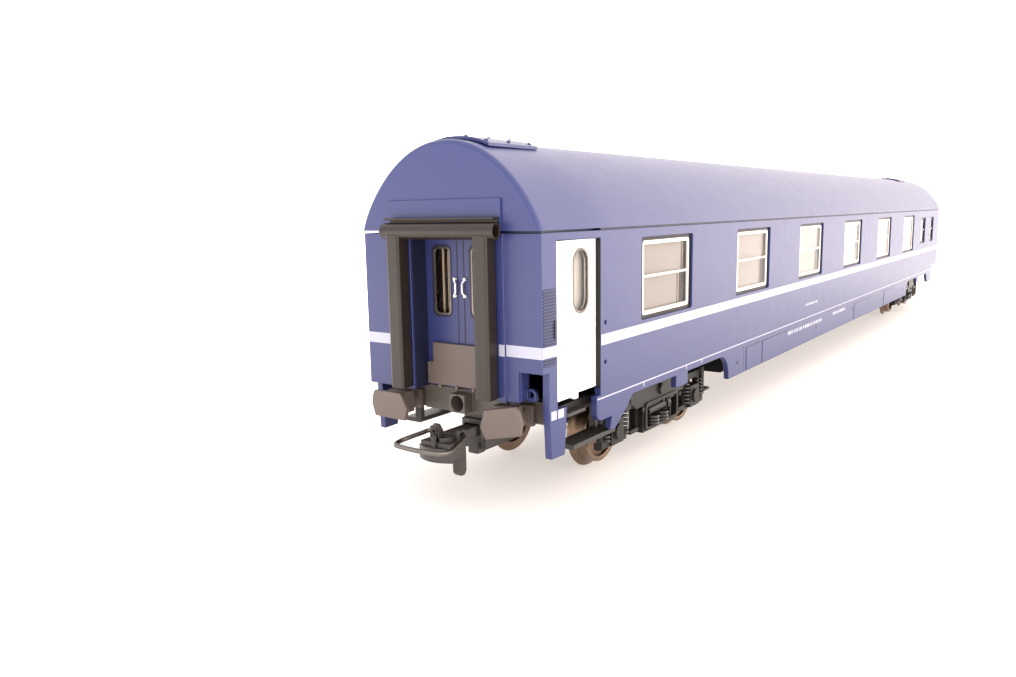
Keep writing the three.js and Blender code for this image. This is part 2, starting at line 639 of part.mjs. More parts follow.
addAtBothEnds('gangway_rubber', gangwayRubber(), RUBBER_GREY);
addAtBothEnds('footplate', footplate(), RUBBER_GREY);
addAtBothEnds('headstock', headstock(), RUBBER_GREY);
addAtBothEnds('buffer_left', buffer(), RUBBER_GREY);
addNode('buffer_right_front', mirrorY(buffer(BUFFER_TWIST)), RUBBER_GREY, nearEnd);
addNode('buffer_right_rear', mirrorY(buffer()), RUBBER_GREY, farEnd);

// ---------------------------------------------------------------- underframe and inner pieces

function underframe() {
  const halfW = 14.4;
  const start = HEADSTOCK_S + HEADSTOCK_THICK + 0.1;
  const boss = { low: 12.85, radius: BOGIE_BOSS_R };
  let plate = block(start, BODY_L - start, -halfW, halfW, FLOOR_Z, FLOOR_Z + FLOOR_THICK);
  for (const y of [-RIB.y, RIB.y]) {
    plate = join(plate, block(MID_START, BODY_L - MID_START, y - RIB.half, y + RIB.half,
      RIB.foot, FLOOR_Z + 0.2));
  }
  for (const s of [PIVOT_S, BODY_L - PIVOT_S]) {
    plate = join(plate, post(s, 0, boss.low, FLOOR_Z + 0.2, boss.radius, 16));
    plate = cut(plate, post(s, 0, boss.low - 1, FLOOR_Z + FLOOR_THICK + 1, PIVOT_HOLE_R, 16));
  }
  return plate;
}

function ballastPlate() {
  const halfW = 13;
  return block(MID_START, BODY_L - MID_START, -halfW, halfW, FLOOR_Z + FLOOR_THICK + GAP, 16.0);
}

// Seating insert: floor, corridor wall and cabin walls in one moulding.
function interior() {
  const floor = { start: 16.0, end: BODY_L - 6.0, halfWidth: 14.2, low: 16.1, thick: 0.9 };
  const corridor = { y: -6.5, thick: 0.9, top: 37.0 };
  const wall = { half: 0.45, outerY: 14.0, top: 36.7 };
  const bench = { depth: 7.5, outerY: 13.7, top: 21.5 };
  const root = floor.low + 0.2;
  let insert = join(
    block(floor.start, floor.end, -floor.halfWidth, floor.halfWidth, floor.low, floor.low + floor.thick),
    block(floor.start, floor.end, corridor.y, corridor.y + corridor.thick, root, corridor.top));
  const firstWall = CABIN_WINDOW.first - (CABIN_WINDOW.pitch - CABIN_WINDOW.width) / 2;
  for (let i = 0; i <= CABIN_WINDOW.count; i += 1) {
    const s = firstWall + i * CABIN_WINDOW.pitch;
    insert = join(insert, block(s - wall.half, s + wall.half, corridor.y + 0.3, wall.outerY, root, wall.top));
    if (i < CABIN_WINDOW.count) {
      insert = join(insert, block(s, s + bench.depth, corridor.y + 0.3, bench.outerY, root, bench.top));
    }
  }
  return insert;
}

// Two step boards on hangers under the entrance door.
function stepBoards() {
  const hangerY = 12.3;
  const front = 7.4;
  const back = 18.2;
  const hangerWidth = 0.8;
  const lower = block(front, back + 1.1, 12.6, DOOR.face, 8.1, 8.8);
  const upper = block(5.8, 10.7, 13.2, DOOR.face, 13.05, 13.55);
  const frontHanger = block(front, front + hangerWidth, hangerY, hangerY + 1.3, 8.4, 15.5);
  const backHanger = block(back - hangerWidth, back, hangerY, hangerY + 1, 8.4, FLOOR_Z);
  const rail = block(front, back, hangerY, hangerY + 0.7, 12.1, FLOOR_Z);
  const floorSpace = block(0, back + 10, 0, 14.45, FLOOR_Z - GAP, FLOOR_Z + 3);
  return cut(join(lower, upper, frontHanger, backHanger, rail), floorSpace);
}

// Closed equipment case that hangs under the floor between the skirts.
function equipmentBox(s0, s1, panels) {
  const halfW = 14.9;
  const foot = 8.5;
  const lean = 1.6;
  const joint = { half: 0.25, depth: 0.35 };
  const ribRoom = RIB.half + 0.1;
  const box = endProfile(shapeOf([
    [-halfW, foot + lean], [-halfW + lean, foot], [halfW - lean, foot], [halfW, foot + lean],
    [halfW, FLOOR_Z - GAP], [-halfW, FLOOR_Z - GAP],
  ]), s0, s1);
  const slots = [-RIB.y, RIB.y].map((y) =>
    block(s0 - 1, s1 + 1, y - ribRoom, y + ribRoom, RIB.foot - 0.1, FLOOR_Z + 1));
  const pitch = (s1 - s0) / panels;
  for (let i = 1; i < panels; i += 1) {
    const s = s0 + i * pitch;
    slots.push(block(s - joint.half, s + joint.half, -OUTSIDE, OUTSIDE, foot - 1, foot + joint.depth));
  }
  return cut(box, ...slots);
}

function pivotScrew() {
  const head = { low: 8.1, high: 9.1, radius: 2.6, slotHalf: 0.3, slotDepth: 0.45 };
  const nutLow = FLOOR_Z + FLOOR_THICK + GAP;
  const shank = post(PIVOT_S, 0, head.high - 0.1, nutLow + 0.6, SCREW_SHANK_R, 16);
  const cap = post(PIVOT_S, 0, head.low, head.high, head.radius, 16);
  const nut = post(PIVOT_S, 0, nutLow, nutLow + 1.15, 2.4, 6);
  const slot = block(PIVOT_S - 3, PIVOT_S + 3, -head.slotHalf, head.slotHalf,
    head.low - 1, head.low + head.slotDepth);
  return cut(join(shank, cap, nut), slot);
}

addNode('underframe', underframe(), CHASSIS_BLACK);
addNode('ballast_plate', ballastPlate(), BALLAST_STEEL);
addNode('interior', interior(), INTERIOR_CREAM);
addNode('step_boards_left', stepBoards(), CHASSIS_BLACK);
addNode('step_boards_right', mirrorY(stepBoards()), CHASSIS_BLACK);
addNode('battery_box', equipmentBox(MID_START + 1, 148, 5), CHASSIS_BLACK);
addNode('water_tank', equipmentBox(152, BODY_L - MID_START - 1, 4), CHASSIS_BLACK);
addAtBothEnds('pivot_screw', pivotScrew(), AXLE_STEEL);

// ---------------------------------------------------------------- bogies

// Centre plate with brake gear; the side frames clip to its ends.
function bogieFrame() {
  const plate = { half: 6.4, halfWidth: SIDE_FRAME_Y - GAP, low: 9.3, high: 11.4 };
  const spine = { half: 12.5, halfWidth: 2.2, low: 9.6, high: 10.9 };
  const brake = { offset: 7.9, half: 0.5, halfWidth: 9.8, low: 6.3, high: 7.3 };
  const shoe = { y: 8.9, half: 0.8, low: 4.6, high: 8.2 };
  const about = (s, half, halfWidth, low, high) =>
    block(s - half, s + half, -halfWidth, halfWidth, low, high);
  let frame = join(
    about(PIVOT_S, plate.half, plate.halfWidth, plate.low, plate.high),
    about(PIVOT_S, spine.half, spine.halfWidth, spine.low, spine.high),
    post(PIVOT_S, 0, plate.high - 0.2, BOGIE_BOSS_TOP, BOGIE_BOSS_R, 16));
  for (const end of [-1, 1]) {
    const beamS = PIVOT_S + end * brake.offset;
    const hangerS = beamS - end;
    frame = join(frame,
      about(beamS, brake.half, brake.halfWidth, brake.low, brake.high),
      about(hangerS, 1, spine.halfWidth, brake.low, spine.low + 0.2));
    for (const y of [-shoe.y, shoe.y]) {
      frame = join(frame,
        block(beamS - 0.45, beamS + 0.45, y - shoe.half, y + shoe.half, shoe.low, shoe.high));
    }
  }
  return cut(frame, post(PIVOT_S, 0, plate.low - 1, BOGIE_BOSS_TOP + 1, PIVOT_HOLE_R, 16));
}

// One side frame at +Y: beam, axle boxes with springs, bolster beam, spring case and dampers.
function sideFrame() {
  const inY = SIDE_FRAME_Y;
  const plateY = 12.2;
  const outY = 13.1;
  const beam = { half: 19.4, low: 9.2, high: 10.5 };
  const bolster = { half: 11.0, footHalf: 9.0, low: 8.5, shoulder: 9.9, high: 12.0 };
  const springCase = { half: 6.7, low: 4.0, high: 8.6, rim: 0.7 };
  const axleBox = { half: 2.0, outY: 12.9, coverR: 1.3 };
  const springSeat = { half: 4.3, low: 2.3, high: 1.3 };
  const spring = { offset: 3.1, y: 11.6, radius: 0.6 };
  const damper = { offset: 19.6, low: 5.6, high: 10.9, arm: [11.6, 12.6, 4.3, 5.7] };
  const centred = (s, half, y0, y1, z0, z1) => block(s - half, s + half, y0, y1, z0, z1);
  let frame = join(
    centred(PIVOT_S, beam.half, inY, plateY, beam.low, beam.high),
    centred(PIVOT_S, springCase.half + 0.9, inY, plateY, springCase.low + 0.4, beam.low + 0.2));
  const bolsterOutline = [
    [-bolster.half, bolster.shoulder], [-bolster.footHalf, bolster.low], [bolster.footHalf, bolster.low],
    [bolster.half, bolster.shoulder], [bolster.half, bolster.high], [-bolster.half, bolster.high],
  ].map(([s, z]) => [PIVOT_S + s, z]);
  const caseRoom = centred(PIVOT_S, springCase.half - springCase.rim, plateY, outY + 1,
    springCase.low + springCase.rim, springCase.high - springCase.rim);
  frame = join(frame,
    sideProfile(shapeOf(bolsterOutline), inY, outY),
    rodAcross(PIVOT_S, plateY, outY + 0.45, 10.35, 0.95, 10),
    cut(centred(PIVOT_S, springCase.half, inY, outY, springCase.low, springCase.high), caseRoom));
  for (const end of [-1, 1]) {
    const axleS = PIVOT_S + end * HALF_WHEELBASE;
    const damperS = PIVOT_S + end * damper.offset;
    frame = join(frame,
      centred(axleS, axleBox.half, inY, axleBox.outY, FLANGE_R - axleBox.half, FLANGE_R + axleBox.half),
      centred(axleS, springSeat.half, inY, plateY, FLANGE_R - springSeat.low, FLANGE_R - springSeat.high),
      rodAcross(axleS, plateY, outY + 0.3, FLANGE_R, axleBox.coverR, 10));
    for (const offset of [-spring.offset, spring.offset]) {
      frame = join(frame,
        post(axleS + offset, spring.y, FLANGE_R - springSeat.high - 0.2, beam.low + 0.2, spring.radius, 6));
    }
    frame = join(frame, post(damperS, plateY, damper.low, damper.high, spring.radius, 6));
    frame = join(frame, block(Math.min(damperS, axleS), Math.max(damperS, axleS), ...damper.arm));
    frame = cut(frame,
      rodAcross(axleS, inY - 1, JOURNAL.end + 0.15, FLANGE_R, JOURNAL.radius + JOURNAL.room, 8));
  }
  return frame;
}

// Wheel on +Y side of its axle: flange inside, tread outside, thin dished web.
function wheel() {
  const profile = [
    [1.05, WHEEL_IN_Y], [6.05, WHEEL_IN_Y], [FLANGE_R, WHEEL_IN_Y + 0.3],
    [TREAD_R + 0.1, WHEEL_IN_Y + 0.95], [TREAD_R - 0.1, WHEEL_OUT_Y], [4.5, WHEEL_OUT_Y],
    [4.3, WHEEL_OUT_Y - 0.7], [1.8, WHEEL_OUT_Y - 0.5], [1.05, WHEEL_OUT_Y],
  ];
  const points = profile.map(([r, y]) => new THREE.Vector2(r, y));
  points.push(points[0].clone());
  return toSolid(new THREE.LatheGeometry(points, 24));
}

function axle() {
  const { radius, start, end } = JOURNAL;
  const half = [[AXLE_R, start - 0.7], [radius, start], [radius, end], [0, end]];
  const other = half.map(([r, y]) => [r, -y]).reverse();
  return toSolid(new THREE.LatheGeometry([...other, ...half].map(([r, y]) => new THREE.Vector2(r, y)), 10));
}

function addBogie(end, s) {
  const parent = end === 'front' ? nearEnd : farEnd;
  addNode(`bogie_frame_${end}`, bogieFrame(), BOGIE_BLACK, parent);
  addNode(`side_frame_${end}_left`, sideFrame(), BOGIE_BLACK, parent);
  addNode(`side_frame_${end}_right`, mirrorY(sideFrame()), BOGIE_BLACK, parent);
  for (const [place, offset] of [['outer', -HALF_WHEELBASE], ['inner', HALF_WHEELBASE]]) {
    const wheelset = new THREE.Group();
    wheelset.position.set(sx(s + offset), 0, FLANGE_R);
    parent.add(wheelset);
    addNode(`axle_${end}_${place}`, axle(), AXLE_STEEL, wheelset);
    addNode(`wheel_${end}_${place}_left`, wheel(), WHEEL_METAL, wheelset);
    addNode(`wheel_${end}_${place}_right`, mirrorY(wheel()), WHEEL_METAL, wheelset);
  }
}

addBogie('front', PIVOT_S);
addBogie('rear', PIVOT_S);

// ---------------------------------------------------------------- close couplers

// Slide plate that runs in the underframe and carries the drawbar's pin.
function couplerSlide() {
  const halfW = 2.6;
  const low = 12.3;
  const plate = block(COUPLER_PIVOT_S - 5, COUPLER_PIVOT_S + 2.4, -halfW, halfW, low, low + 0.8);
  const pin = post(COUPLER_PIVOT_S, 0, 10.7, low + 0.2, COUPLER_PIN_R, 12);
  return join(plate, pin);
}

// Drawbar: flat arm with the coupling pocket hanging from its front end.
function drawbar() {
  const front = 4.6;
  const arm = block(front + 0.6, COUPLER_PIVOT_S + 2.0, -1.8, 1.8, 11.0, 12.05);
  const pocket = block(front, 8.4, -1.75, 1.75, 7.8, 11.1);
  const keel = block(front + 0.6, 12.4, -2.1, 2.1, 6.5, 8.1);
  const key = block(front + 0.2, 6.6, -0.9, 0.9, 5.8, 8.0);
  const shankRoom = 0.15;
  const mouth = block(front - 2, COUPLER_SHANK.end + 0.3, -COUPLER_SHANK.half - shankRoom,
    COUPLER_SHANK.half + shankRoom, COUPLER_SHANK.low - shankRoom, COUPLER_SHANK.high + shankRoom);
  const eye = post(COUPLER_PIVOT_S, 0, 10, 13, COUPLER_PIN_R + 0.15, 12);
  return cut(join(arm, pocket, keel, key), mouth, eye);
}

// Coupler head: shank, body with a bowed bumper plate, centre hook, trip pin and loop ears.
function couplerHead() {
  const { s: eyeS, z: eyeZ } = LOOP_PIVOT;
  const shank = block(-1.0, COUPLER_SHANK.end, -COUPLER_SHANK.half, COUPLER_SHANK.half,
    COUPLER_SHANK.low, COUPLER_SHANK.high);
  const body = block(-3.6, -0.4, -2.6, 2.6, 7.3, 9.5);
  const bumper = { back: -3.4, bow: -5.6, halfWidth: 3.1, low: 6.9, high: 8.9 };
  const bumperOutline = new THREE.Shape();
  bumperOutline.moveTo(bumper.back, -bumper.halfWidth);
  bumperOutline.lineTo(bumper.back, bumper.halfWidth);
  bumperOutline.quadraticCurveTo(bumper.bow, 0, bumper.back, -bumper.halfWidth);
  const hook = sideProfile(shapeOf([
    [-3.3, 9.3], [-2.2, 9.3], [-2.2, 11.0], [-2.9, 12.1], [-4.0, 11.7], [-3.3, 11.2],
  ]), -0.5, 0.5);
  const trip = sideProfile(shapeOf([
    [0.8, 9.0], [0.8, 3.9], [1.3, 3.4], [2.1, 3.4], [2.5, 4.0], [2.5, 9.0],
  ]), -0.6, 0.6);
  const head = join(shank, body, planProfile(bumperOutline, bumper.low, bumper.high, 8), hook, trip);
  const ear = { half: 0.7, inner: 1.9, outer: 2.7, low: 8.4, high: eyeZ + 0.8 };
  const earPlate = block(eyeS - ear.half, eyeS + ear.half, ear.inner, ear.outer, ear.low, ear.high);
  const earFoot = block(eyeS - ear.half, eyeS + ear.half, 1.2, ear.inner + 0.3, ear.low, 9.6);
  const rightEar = join(earPlate, earFoot);
  return cut(join(head, rightEar, mirrorY(rightEar)), rodAcross(eyeS, -4, 4, eyeZ, LOOP_WIRE_R + 0.15, 10));
}

// Wire loop; its turned-in ends sit in the head's ears.
function couplingLoop() {
  const frontS = -7.4;
  const frontZ = 9.4;
  const at = (s, y, z) => new THREE.Vector3(sx(s), y, z);
  const half = [
    at(LOOP_PIVOT.s, 1.7, LOOP_PIVOT.z), at(LOOP_PIVOT.s, 2.4, LOOP_PIVOT.z),
    at(LOOP_PIVOT.s - 0.35, 3.15, LOOP_PIVOT.z), at(-2.0, 3.4, 10.05), at(-4.2, 4.05, 9.75),
    at(-6.2, 4.6, frontZ + 0.05), at(-7.15, 4.25, frontZ), at(frontS, 3.4, frontZ),
  ];
  const other = half.map((p) => new THREE.Vector3(p.x, -p.y, p.z)).reverse();
  const path = new THREE.CatmullRomCurve3([...half, ...other], false, 'centripetal');
  const section = new THREE.Shape();
  section.absarc(0, 0, LOOP_WIRE_R, 0, 2 * Math.PI, false);
  const geometry = new THREE.ExtrudeGeometry(section, { steps: 30, curveSegments: 3, extrudePath: path });
  return toSolid(geometry);
}

addAtBothEnds('coupler_slide', couplerSlide(), CHASSIS_BLACK);
addAtBothEnds('drawbar', drawbar(), COUPLER_BLACK);
addAtBothEnds('coupler_head', couplerHead(), COUPLER_BLACK);
addAtBothEnds('coupling_loop', couplingLoop(), AXLE_STEEL);

export default coach;
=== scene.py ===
"""Looks of the H0 sleeping coach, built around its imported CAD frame.

Lengths are given in millimetres and turned into metres by MM. "s" is the distance from the end wall
with the entrance doors, at the coach's -X end; y runs across the coach and z is the height.
"""

import json
import math
import random

import bmesh
import bpy
from mathutils import Matrix, Vector

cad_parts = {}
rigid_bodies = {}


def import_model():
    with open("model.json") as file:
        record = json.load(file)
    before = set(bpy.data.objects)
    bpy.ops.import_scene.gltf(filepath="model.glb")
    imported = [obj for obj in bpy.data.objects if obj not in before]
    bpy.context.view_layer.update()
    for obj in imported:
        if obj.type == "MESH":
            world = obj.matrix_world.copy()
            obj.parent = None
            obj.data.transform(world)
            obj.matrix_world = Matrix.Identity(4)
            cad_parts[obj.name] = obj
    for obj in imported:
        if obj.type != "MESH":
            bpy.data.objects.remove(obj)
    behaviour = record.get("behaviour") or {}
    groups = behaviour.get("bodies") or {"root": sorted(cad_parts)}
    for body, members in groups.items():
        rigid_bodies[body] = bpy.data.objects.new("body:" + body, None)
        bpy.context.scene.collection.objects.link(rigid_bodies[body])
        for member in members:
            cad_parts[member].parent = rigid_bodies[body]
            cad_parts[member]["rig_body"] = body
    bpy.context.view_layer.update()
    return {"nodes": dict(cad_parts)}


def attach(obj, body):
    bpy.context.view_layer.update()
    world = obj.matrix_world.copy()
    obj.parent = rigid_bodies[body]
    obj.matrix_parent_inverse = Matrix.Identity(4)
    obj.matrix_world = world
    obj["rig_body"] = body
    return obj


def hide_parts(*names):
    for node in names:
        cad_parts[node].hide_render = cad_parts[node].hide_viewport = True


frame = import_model()
NODES = frame["nodes"]

# ------------------------------------------------------------------ driving dimensions (mm)

MM = 0.001
BODY_L = 299.4
HALF_L = BODY_L / 2
HALF_W = 16.45
END_HALF_W = 15.6
VESTIBULE_L = 13.6
SEAM_Z = 38.2
PAD_HALF_W = 9.85
PAD_THICK = 0.3
AXLE_Z = 6.25
PIVOT_S = 40.3
HALF_WHEELBASE = 15.0
NICHE_DEPTH = 3.0
ROOF_RISE = 12.18
ROOF_CURVE = (2.093, 0.795)
EAVE = 0.12
VENT_PLATES = ((2.2, 13.9), (BODY_L - 29.9, BODY_L - 18.2))
GLASS_Y = 16.05
DOOR_FACE_Y = 15.7
SIDE_FRAME_Y = 13.1

STRIPE_LOW, STRIPE_HIGH = 21.9, 23.45
LINE_LOW, LINE_HIGH = 14.17, 14.38

WIDE = {"first": 26.15, "pitch": 39.95, "width": 19.0, "low": 24.0, "high": 36.6, "count": 6}
CABIN = {"first": 25.9, "pitch": 20.1, "width": 11.6, "low": 24.0, "high": 36.6, "count": 12}
SMALL = {"starts": (258.8, 279.2), "widths": (9.4, 7.2), "low": 25.8, "high": 35.4}
DOOR_WINDOW = {"middle": 9.4, "half": 1.95, "low": 27.05, "high": 35.7}
GANGWAY_WINDOW = {"inner": 1.85, "outer": 4.95, "low": 26.3, "high": 36.1}
BLIND_SHARE = 0.86
DIVIDER_SHARE = 0.52

COACH = "coach"


def at(s, y, z):
    """A point in the frame, in metres."""
    return Vector(((s - HALF_L) * MM, y * MM, z * MM))


# ------------------------------------------------------------------ camera, floor and light

def add_camera():
    """The photograph's viewpoint, close to the end with the entrance doors."""
    forward = Vector((0.7994, 0.5806, -0.1543)).normalized()
    right = Vector((0.5853, -0.8106, -0.0182)).normalized()
    up = right.cross(forward).normalized()
    camera = bpy.data.cameras.new("camera")
    camera.sensor_width = 36.0
    camera.lens = 28.96
    camera.clip_start = 0.005
    camera.clip_end = 20.0
    holder = bpy.data.objects.new("camera", camera)
    turn = Matrix((right, up, -forward)).transposed()
    holder.matrix_world = Matrix.Translation(at(-85.9, -72.6, 40.9)) @ turn.to_4x4()
    bpy.context.scene.collection.objects.link(holder)
    bpy.context.scene.camera = holder


def add_world():
    """White tent light, brighter towards the coach's far end and dimmer overhead."""
    world = bpy.data.worlds.new("studio")
    world.use_nodes = True
    nodes, links = world.node_tree.nodes, world.node_tree.links
    place = nodes.new("ShaderNodeTexCoord")
    split = nodes.new("ShaderNodeSeparateXYZ")
    towards = nodes.new("ShaderNodeVectorMath")
    towards.operation = "DOT_PRODUCT"
    towards.inputs[1].default_value = (0.70, -0.71, 0.0)
    share = nodes.new("ShaderNodeMapRange")
    share.inputs["From Min"].default_value = -0.6
    share.inputs["From Max"].default_value = 0.95
    mix = nodes.new("ShaderNodeMix")
    mix.data_type = "RGBA"
    mix.inputs["A"].default_value = (0.98, 0.97, 1.00, 1.0)
    mix.inputs["B"].default_value = (1.90, 1.70, 1.52, 1.0)
    overhead = nodes.new("ShaderNodeMapRange")
    overhead.inputs["From Min"].default_value = 0.0
    overhead.inputs["From Max"].default_value = 0.3
    overhead.inputs["To Min"].default_value = 1.12
    overhead.inputs["To Max"].default_value = 1.0
    links.new(place.outputs["Generated"], split.inputs["Vector"])
    links.new(place.outputs["Generated"], towards.inputs[0])
    links.new(towards.outputs["Value"], share.inputs["Value"])
    links.new(share.outputs["Result"], mix.inputs["Factor"])
    links.new(mix.outputs["Result"], nodes["Background"].inputs["Color"])
    links.new(split.outputs["Z"], overhead.inputs["Value"])
    links.new(overhead.outputs["Result"], nodes["Background"].inputs["Strength"])
    bpy.context.scene.world = world


def add_soft_light():
    """Broad, weak and nearly level light on the seen end and side, as from a softbox."""
    sun = bpy.data.lights.new("softbox", "SUN")
    sun.energy = 0.4
    sun.angle = math.radians(70)
    sun.color = (1.0, 0.95, 0.90)
    holder = bpy.data.objects.new("softbox", sun)
    direction = Vector((-0.50, 0.78, -0.15))
    holder.rotation_euler = direction.to_track_quat("-Z", "Y").to_euler()
    bpy.context.scene.collection.objects.link(holder)


def add_floor():
    """White table top that glows as if lit through from below; the glow is dimmer in a soft patch around the
    coach, a painted shadow.
    """
    mesh = bpy.data.meshes.new("floor")
    half = 6.0
    corners = [(-half, -half, 0), (half, -half, 0), (half, half, 0), (-half, half, 0)]
    mesh.from_pydata(corners, [], [(0, 1, 2, 3)])
    floor = bpy.data.objects.new("floor", mesh)
    bpy.context.scene.collection.objects.link(floor)
    material = bpy.data.materials.new("floor_white")
    material.use_nodes = True
    nodes, links = material.node_tree.nodes, material.node_tree.links
    shader = nodes["Principled BSDF"]
    shader.inputs["Base Color"].default_value = (0.38, 0.38, 0.38, 1.0)
    shader.inputs["Roughness"].default_value = 0.7
    shader.inputs["Emission Color"].default_value = (1.0, 0.90, 0.84, 1.0)
    source = nodes.new("ShaderNodeTexCoord").outputs["Object"]
    coach_half = (HALF_L * MM, HALF_W * MM, 0.0)
    steps = (("ABSOLUTE", None), ("SUBTRACT", coach_half), ("MAXIMUM", (0.0, 0.0, 0.0)))
    for operation, other in steps:
        step = nodes.new("ShaderNodeVectorMath")
        step.operation = operation
        links.new(source, step.inputs[0])
        if other is not None:
            step.inputs[1].default_value = other
        source = step.outputs["Vector"]
    away = nodes.new("ShaderNodeVectorMath")
    away.operation = "LENGTH"
    links.new(source, away.inputs[0])
    # Emission falls off near the coach: a painted shadow, tinted warm by the emission colour.
    glow_with_painted_shadow = nodes.new("ShaderNodeMapRange")
    glow_with_painted_shadow.interpolation_type = "SMOOTHSTEP"
    glow_with_painted_shadow.inputs["From Min"].default_value = 0.0
    glow_with_painted_shadow.inputs["From Max"].default_value = 0.10
    glow_with_painted_shadow.inputs["To Min"].default_value = 0.32
    glow_with_painted_shadow.inputs["To Max"].default_value = 1.6
    links.new(away.outputs["Value"], glow_with_painted_shadow.inputs["Value"])
    links.new(glow_with_painted_shadow.outputs["Result"], shader.inputs["Emission Strength"])
    mesh.materials.append(material)


# ------------------------------------------------------------------ materials

class Surface:
    """Node builder for one material around its Principled shader."""

    def __init__(self, name, colour, roughness, metallic=0.0, ior=1.5):
        self.material = bpy.data.materials.new(name)
        self.material.use_nodes = True
        self.nodes = self.material.node_tree.nodes
        self.links = self.material.node_tree.links
        self.shader = self.nodes["Principled BSDF"]
        self.shader.inputs["Base Color"].default_value = (*colour, 1.0)
        self.shader.inputs["Roughness"].default_value = roughness
        self.shader.inputs["Metallic"].default_value = metallic
        self.shader.inputs["IOR"].default_value = ior
        self.roughness = roughness
        self.place = self.nodes.new("ShaderNodeTexCoord")

    def noise(self, scale, detail=3.0, stretch=None):
        texture = self.nodes.new("ShaderNodeTexNoise")
        texture.inputs["Scale"].default_value = scale
        texture.inputs["Detail"].default_value = detail
        if stretch is None:
            self.links.new(self.place.outputs["Object"], texture.inputs["Vector"])
        else:
            mapping = self.nodes.new("ShaderNodeMapping")
            mapping.inputs["Scale"].default_value = stretch
            self.links.new(self.place.outputs["Object"], mapping.inputs["Vector"])
            self.links.new(mapping.outputs["Vector"], texture.inputs["Vector"])
        return texture.outputs["Fac"]

    def ranged(self, source, low, high, from_low=0.35, from_high=0.65):
        mapper = self.nodes.new("ShaderNodeMapRange")
        mapper.inputs["From Min"].default_value = from_low
        mapper.inputs["From Max"].default_value = from_high
        mapper.inputs["To Min"].default_value = low
        mapper.inputs["To Max"].default_value = high
        self.links.new(source, mapper.inputs["Value"])
        return mapper.outputs["Result"]

    def bump(self, source, depth, strength):
        node = self.nodes.new("ShaderNodeBump")
        node.inputs["Distance"].default_value = depth
        node.inputs["Strength"].default_value = strength
        self.links.new(source, node.inputs["Height"])
        self.links.new(node.outputs["Normal"], self.shader.inputs["Normal"])

    def vary_roughness(self, scale, spread):
        low = max(self.roughness - spread, 0.03)
        high = min(self.roughness + spread, 1.0)
        factor = self.ranged(self.noise(scale), low, high)
        self.links.new(factor, self.shader.inputs["Roughness"])

    def vary_colour(self, scale, other, low, high, from_low, from_high, detail=3.0):
        """Mixes a second colour over what the base colour already is."""
        mix = self.nodes.new("ShaderNodeMix")
        mix.data_type = "RGBA"
        base = self.shader.inputs["Base Color"]
        if base.is_linked:
            self.links.new(base.links[0].from_socket, mix.inputs["A"])
        else:
            mix.inputs["A"].default_value = base.default_value
        mix.inputs["B"].default_value = (*other, 1.0)
        factor = self.ranged(self.noise(scale, detail), low, high, from_low, from_high)
        self.links.new(factor, mix.inputs["Factor"])
        self.links.new(mix.outputs["Result"], base)


def moulded_plastic(name, colour, roughness, pale, grain=0.012, ior=1.5):
    """Injection-moulded plastic: fine mould grain, faint flow marks, and a little settled dust."""
    surface = Surface(name, colour, roughness, ior=ior)
    surface.vary_colour(60.0, pale, 0.0, 0.06, 0.30, 0.75)
    surface.vary_colour(1900.0, pale, 0.0, 0.5, 0.72, 0.80, detail=1.0)
    surface.vary_roughness(300.0, 0.012)
    surface.bump(surface.noise(4200.0, 2.0), grain * MM, 0.25)
    return surface.material


def turned_metal(name, colour, roughness, tint):
    """Turned and plated metal with fine tool marks and faint staining."""
    surface = Surface(name, colour, roughness, metallic=1.0)
    surface.vary_colour(160.0, tint, 0.0, 0.6, 0.35, 0.7)
    surface.vary_roughness(400.0, 0.1)
    surface.bump(surface.noise(2200.0, 2.0, stretch=(1.0, 0.15, 1.0)), 0.008 * MM, 0.4)
    return surface.material


def clear_plastic(name, tint):
    """Thin clear moulding, slightly wavy."""
    surface = Surface(name, tint, 0.06, ior=1.1)
    surface.shader.inputs["Transmission Weight"].default_value = 1.0
    surface.vary_roughness(180.0, 0.03)
    surface.bump(surface.noise(120.0, 1.0), 0.004 * MM, 0.4)
    return surface.material


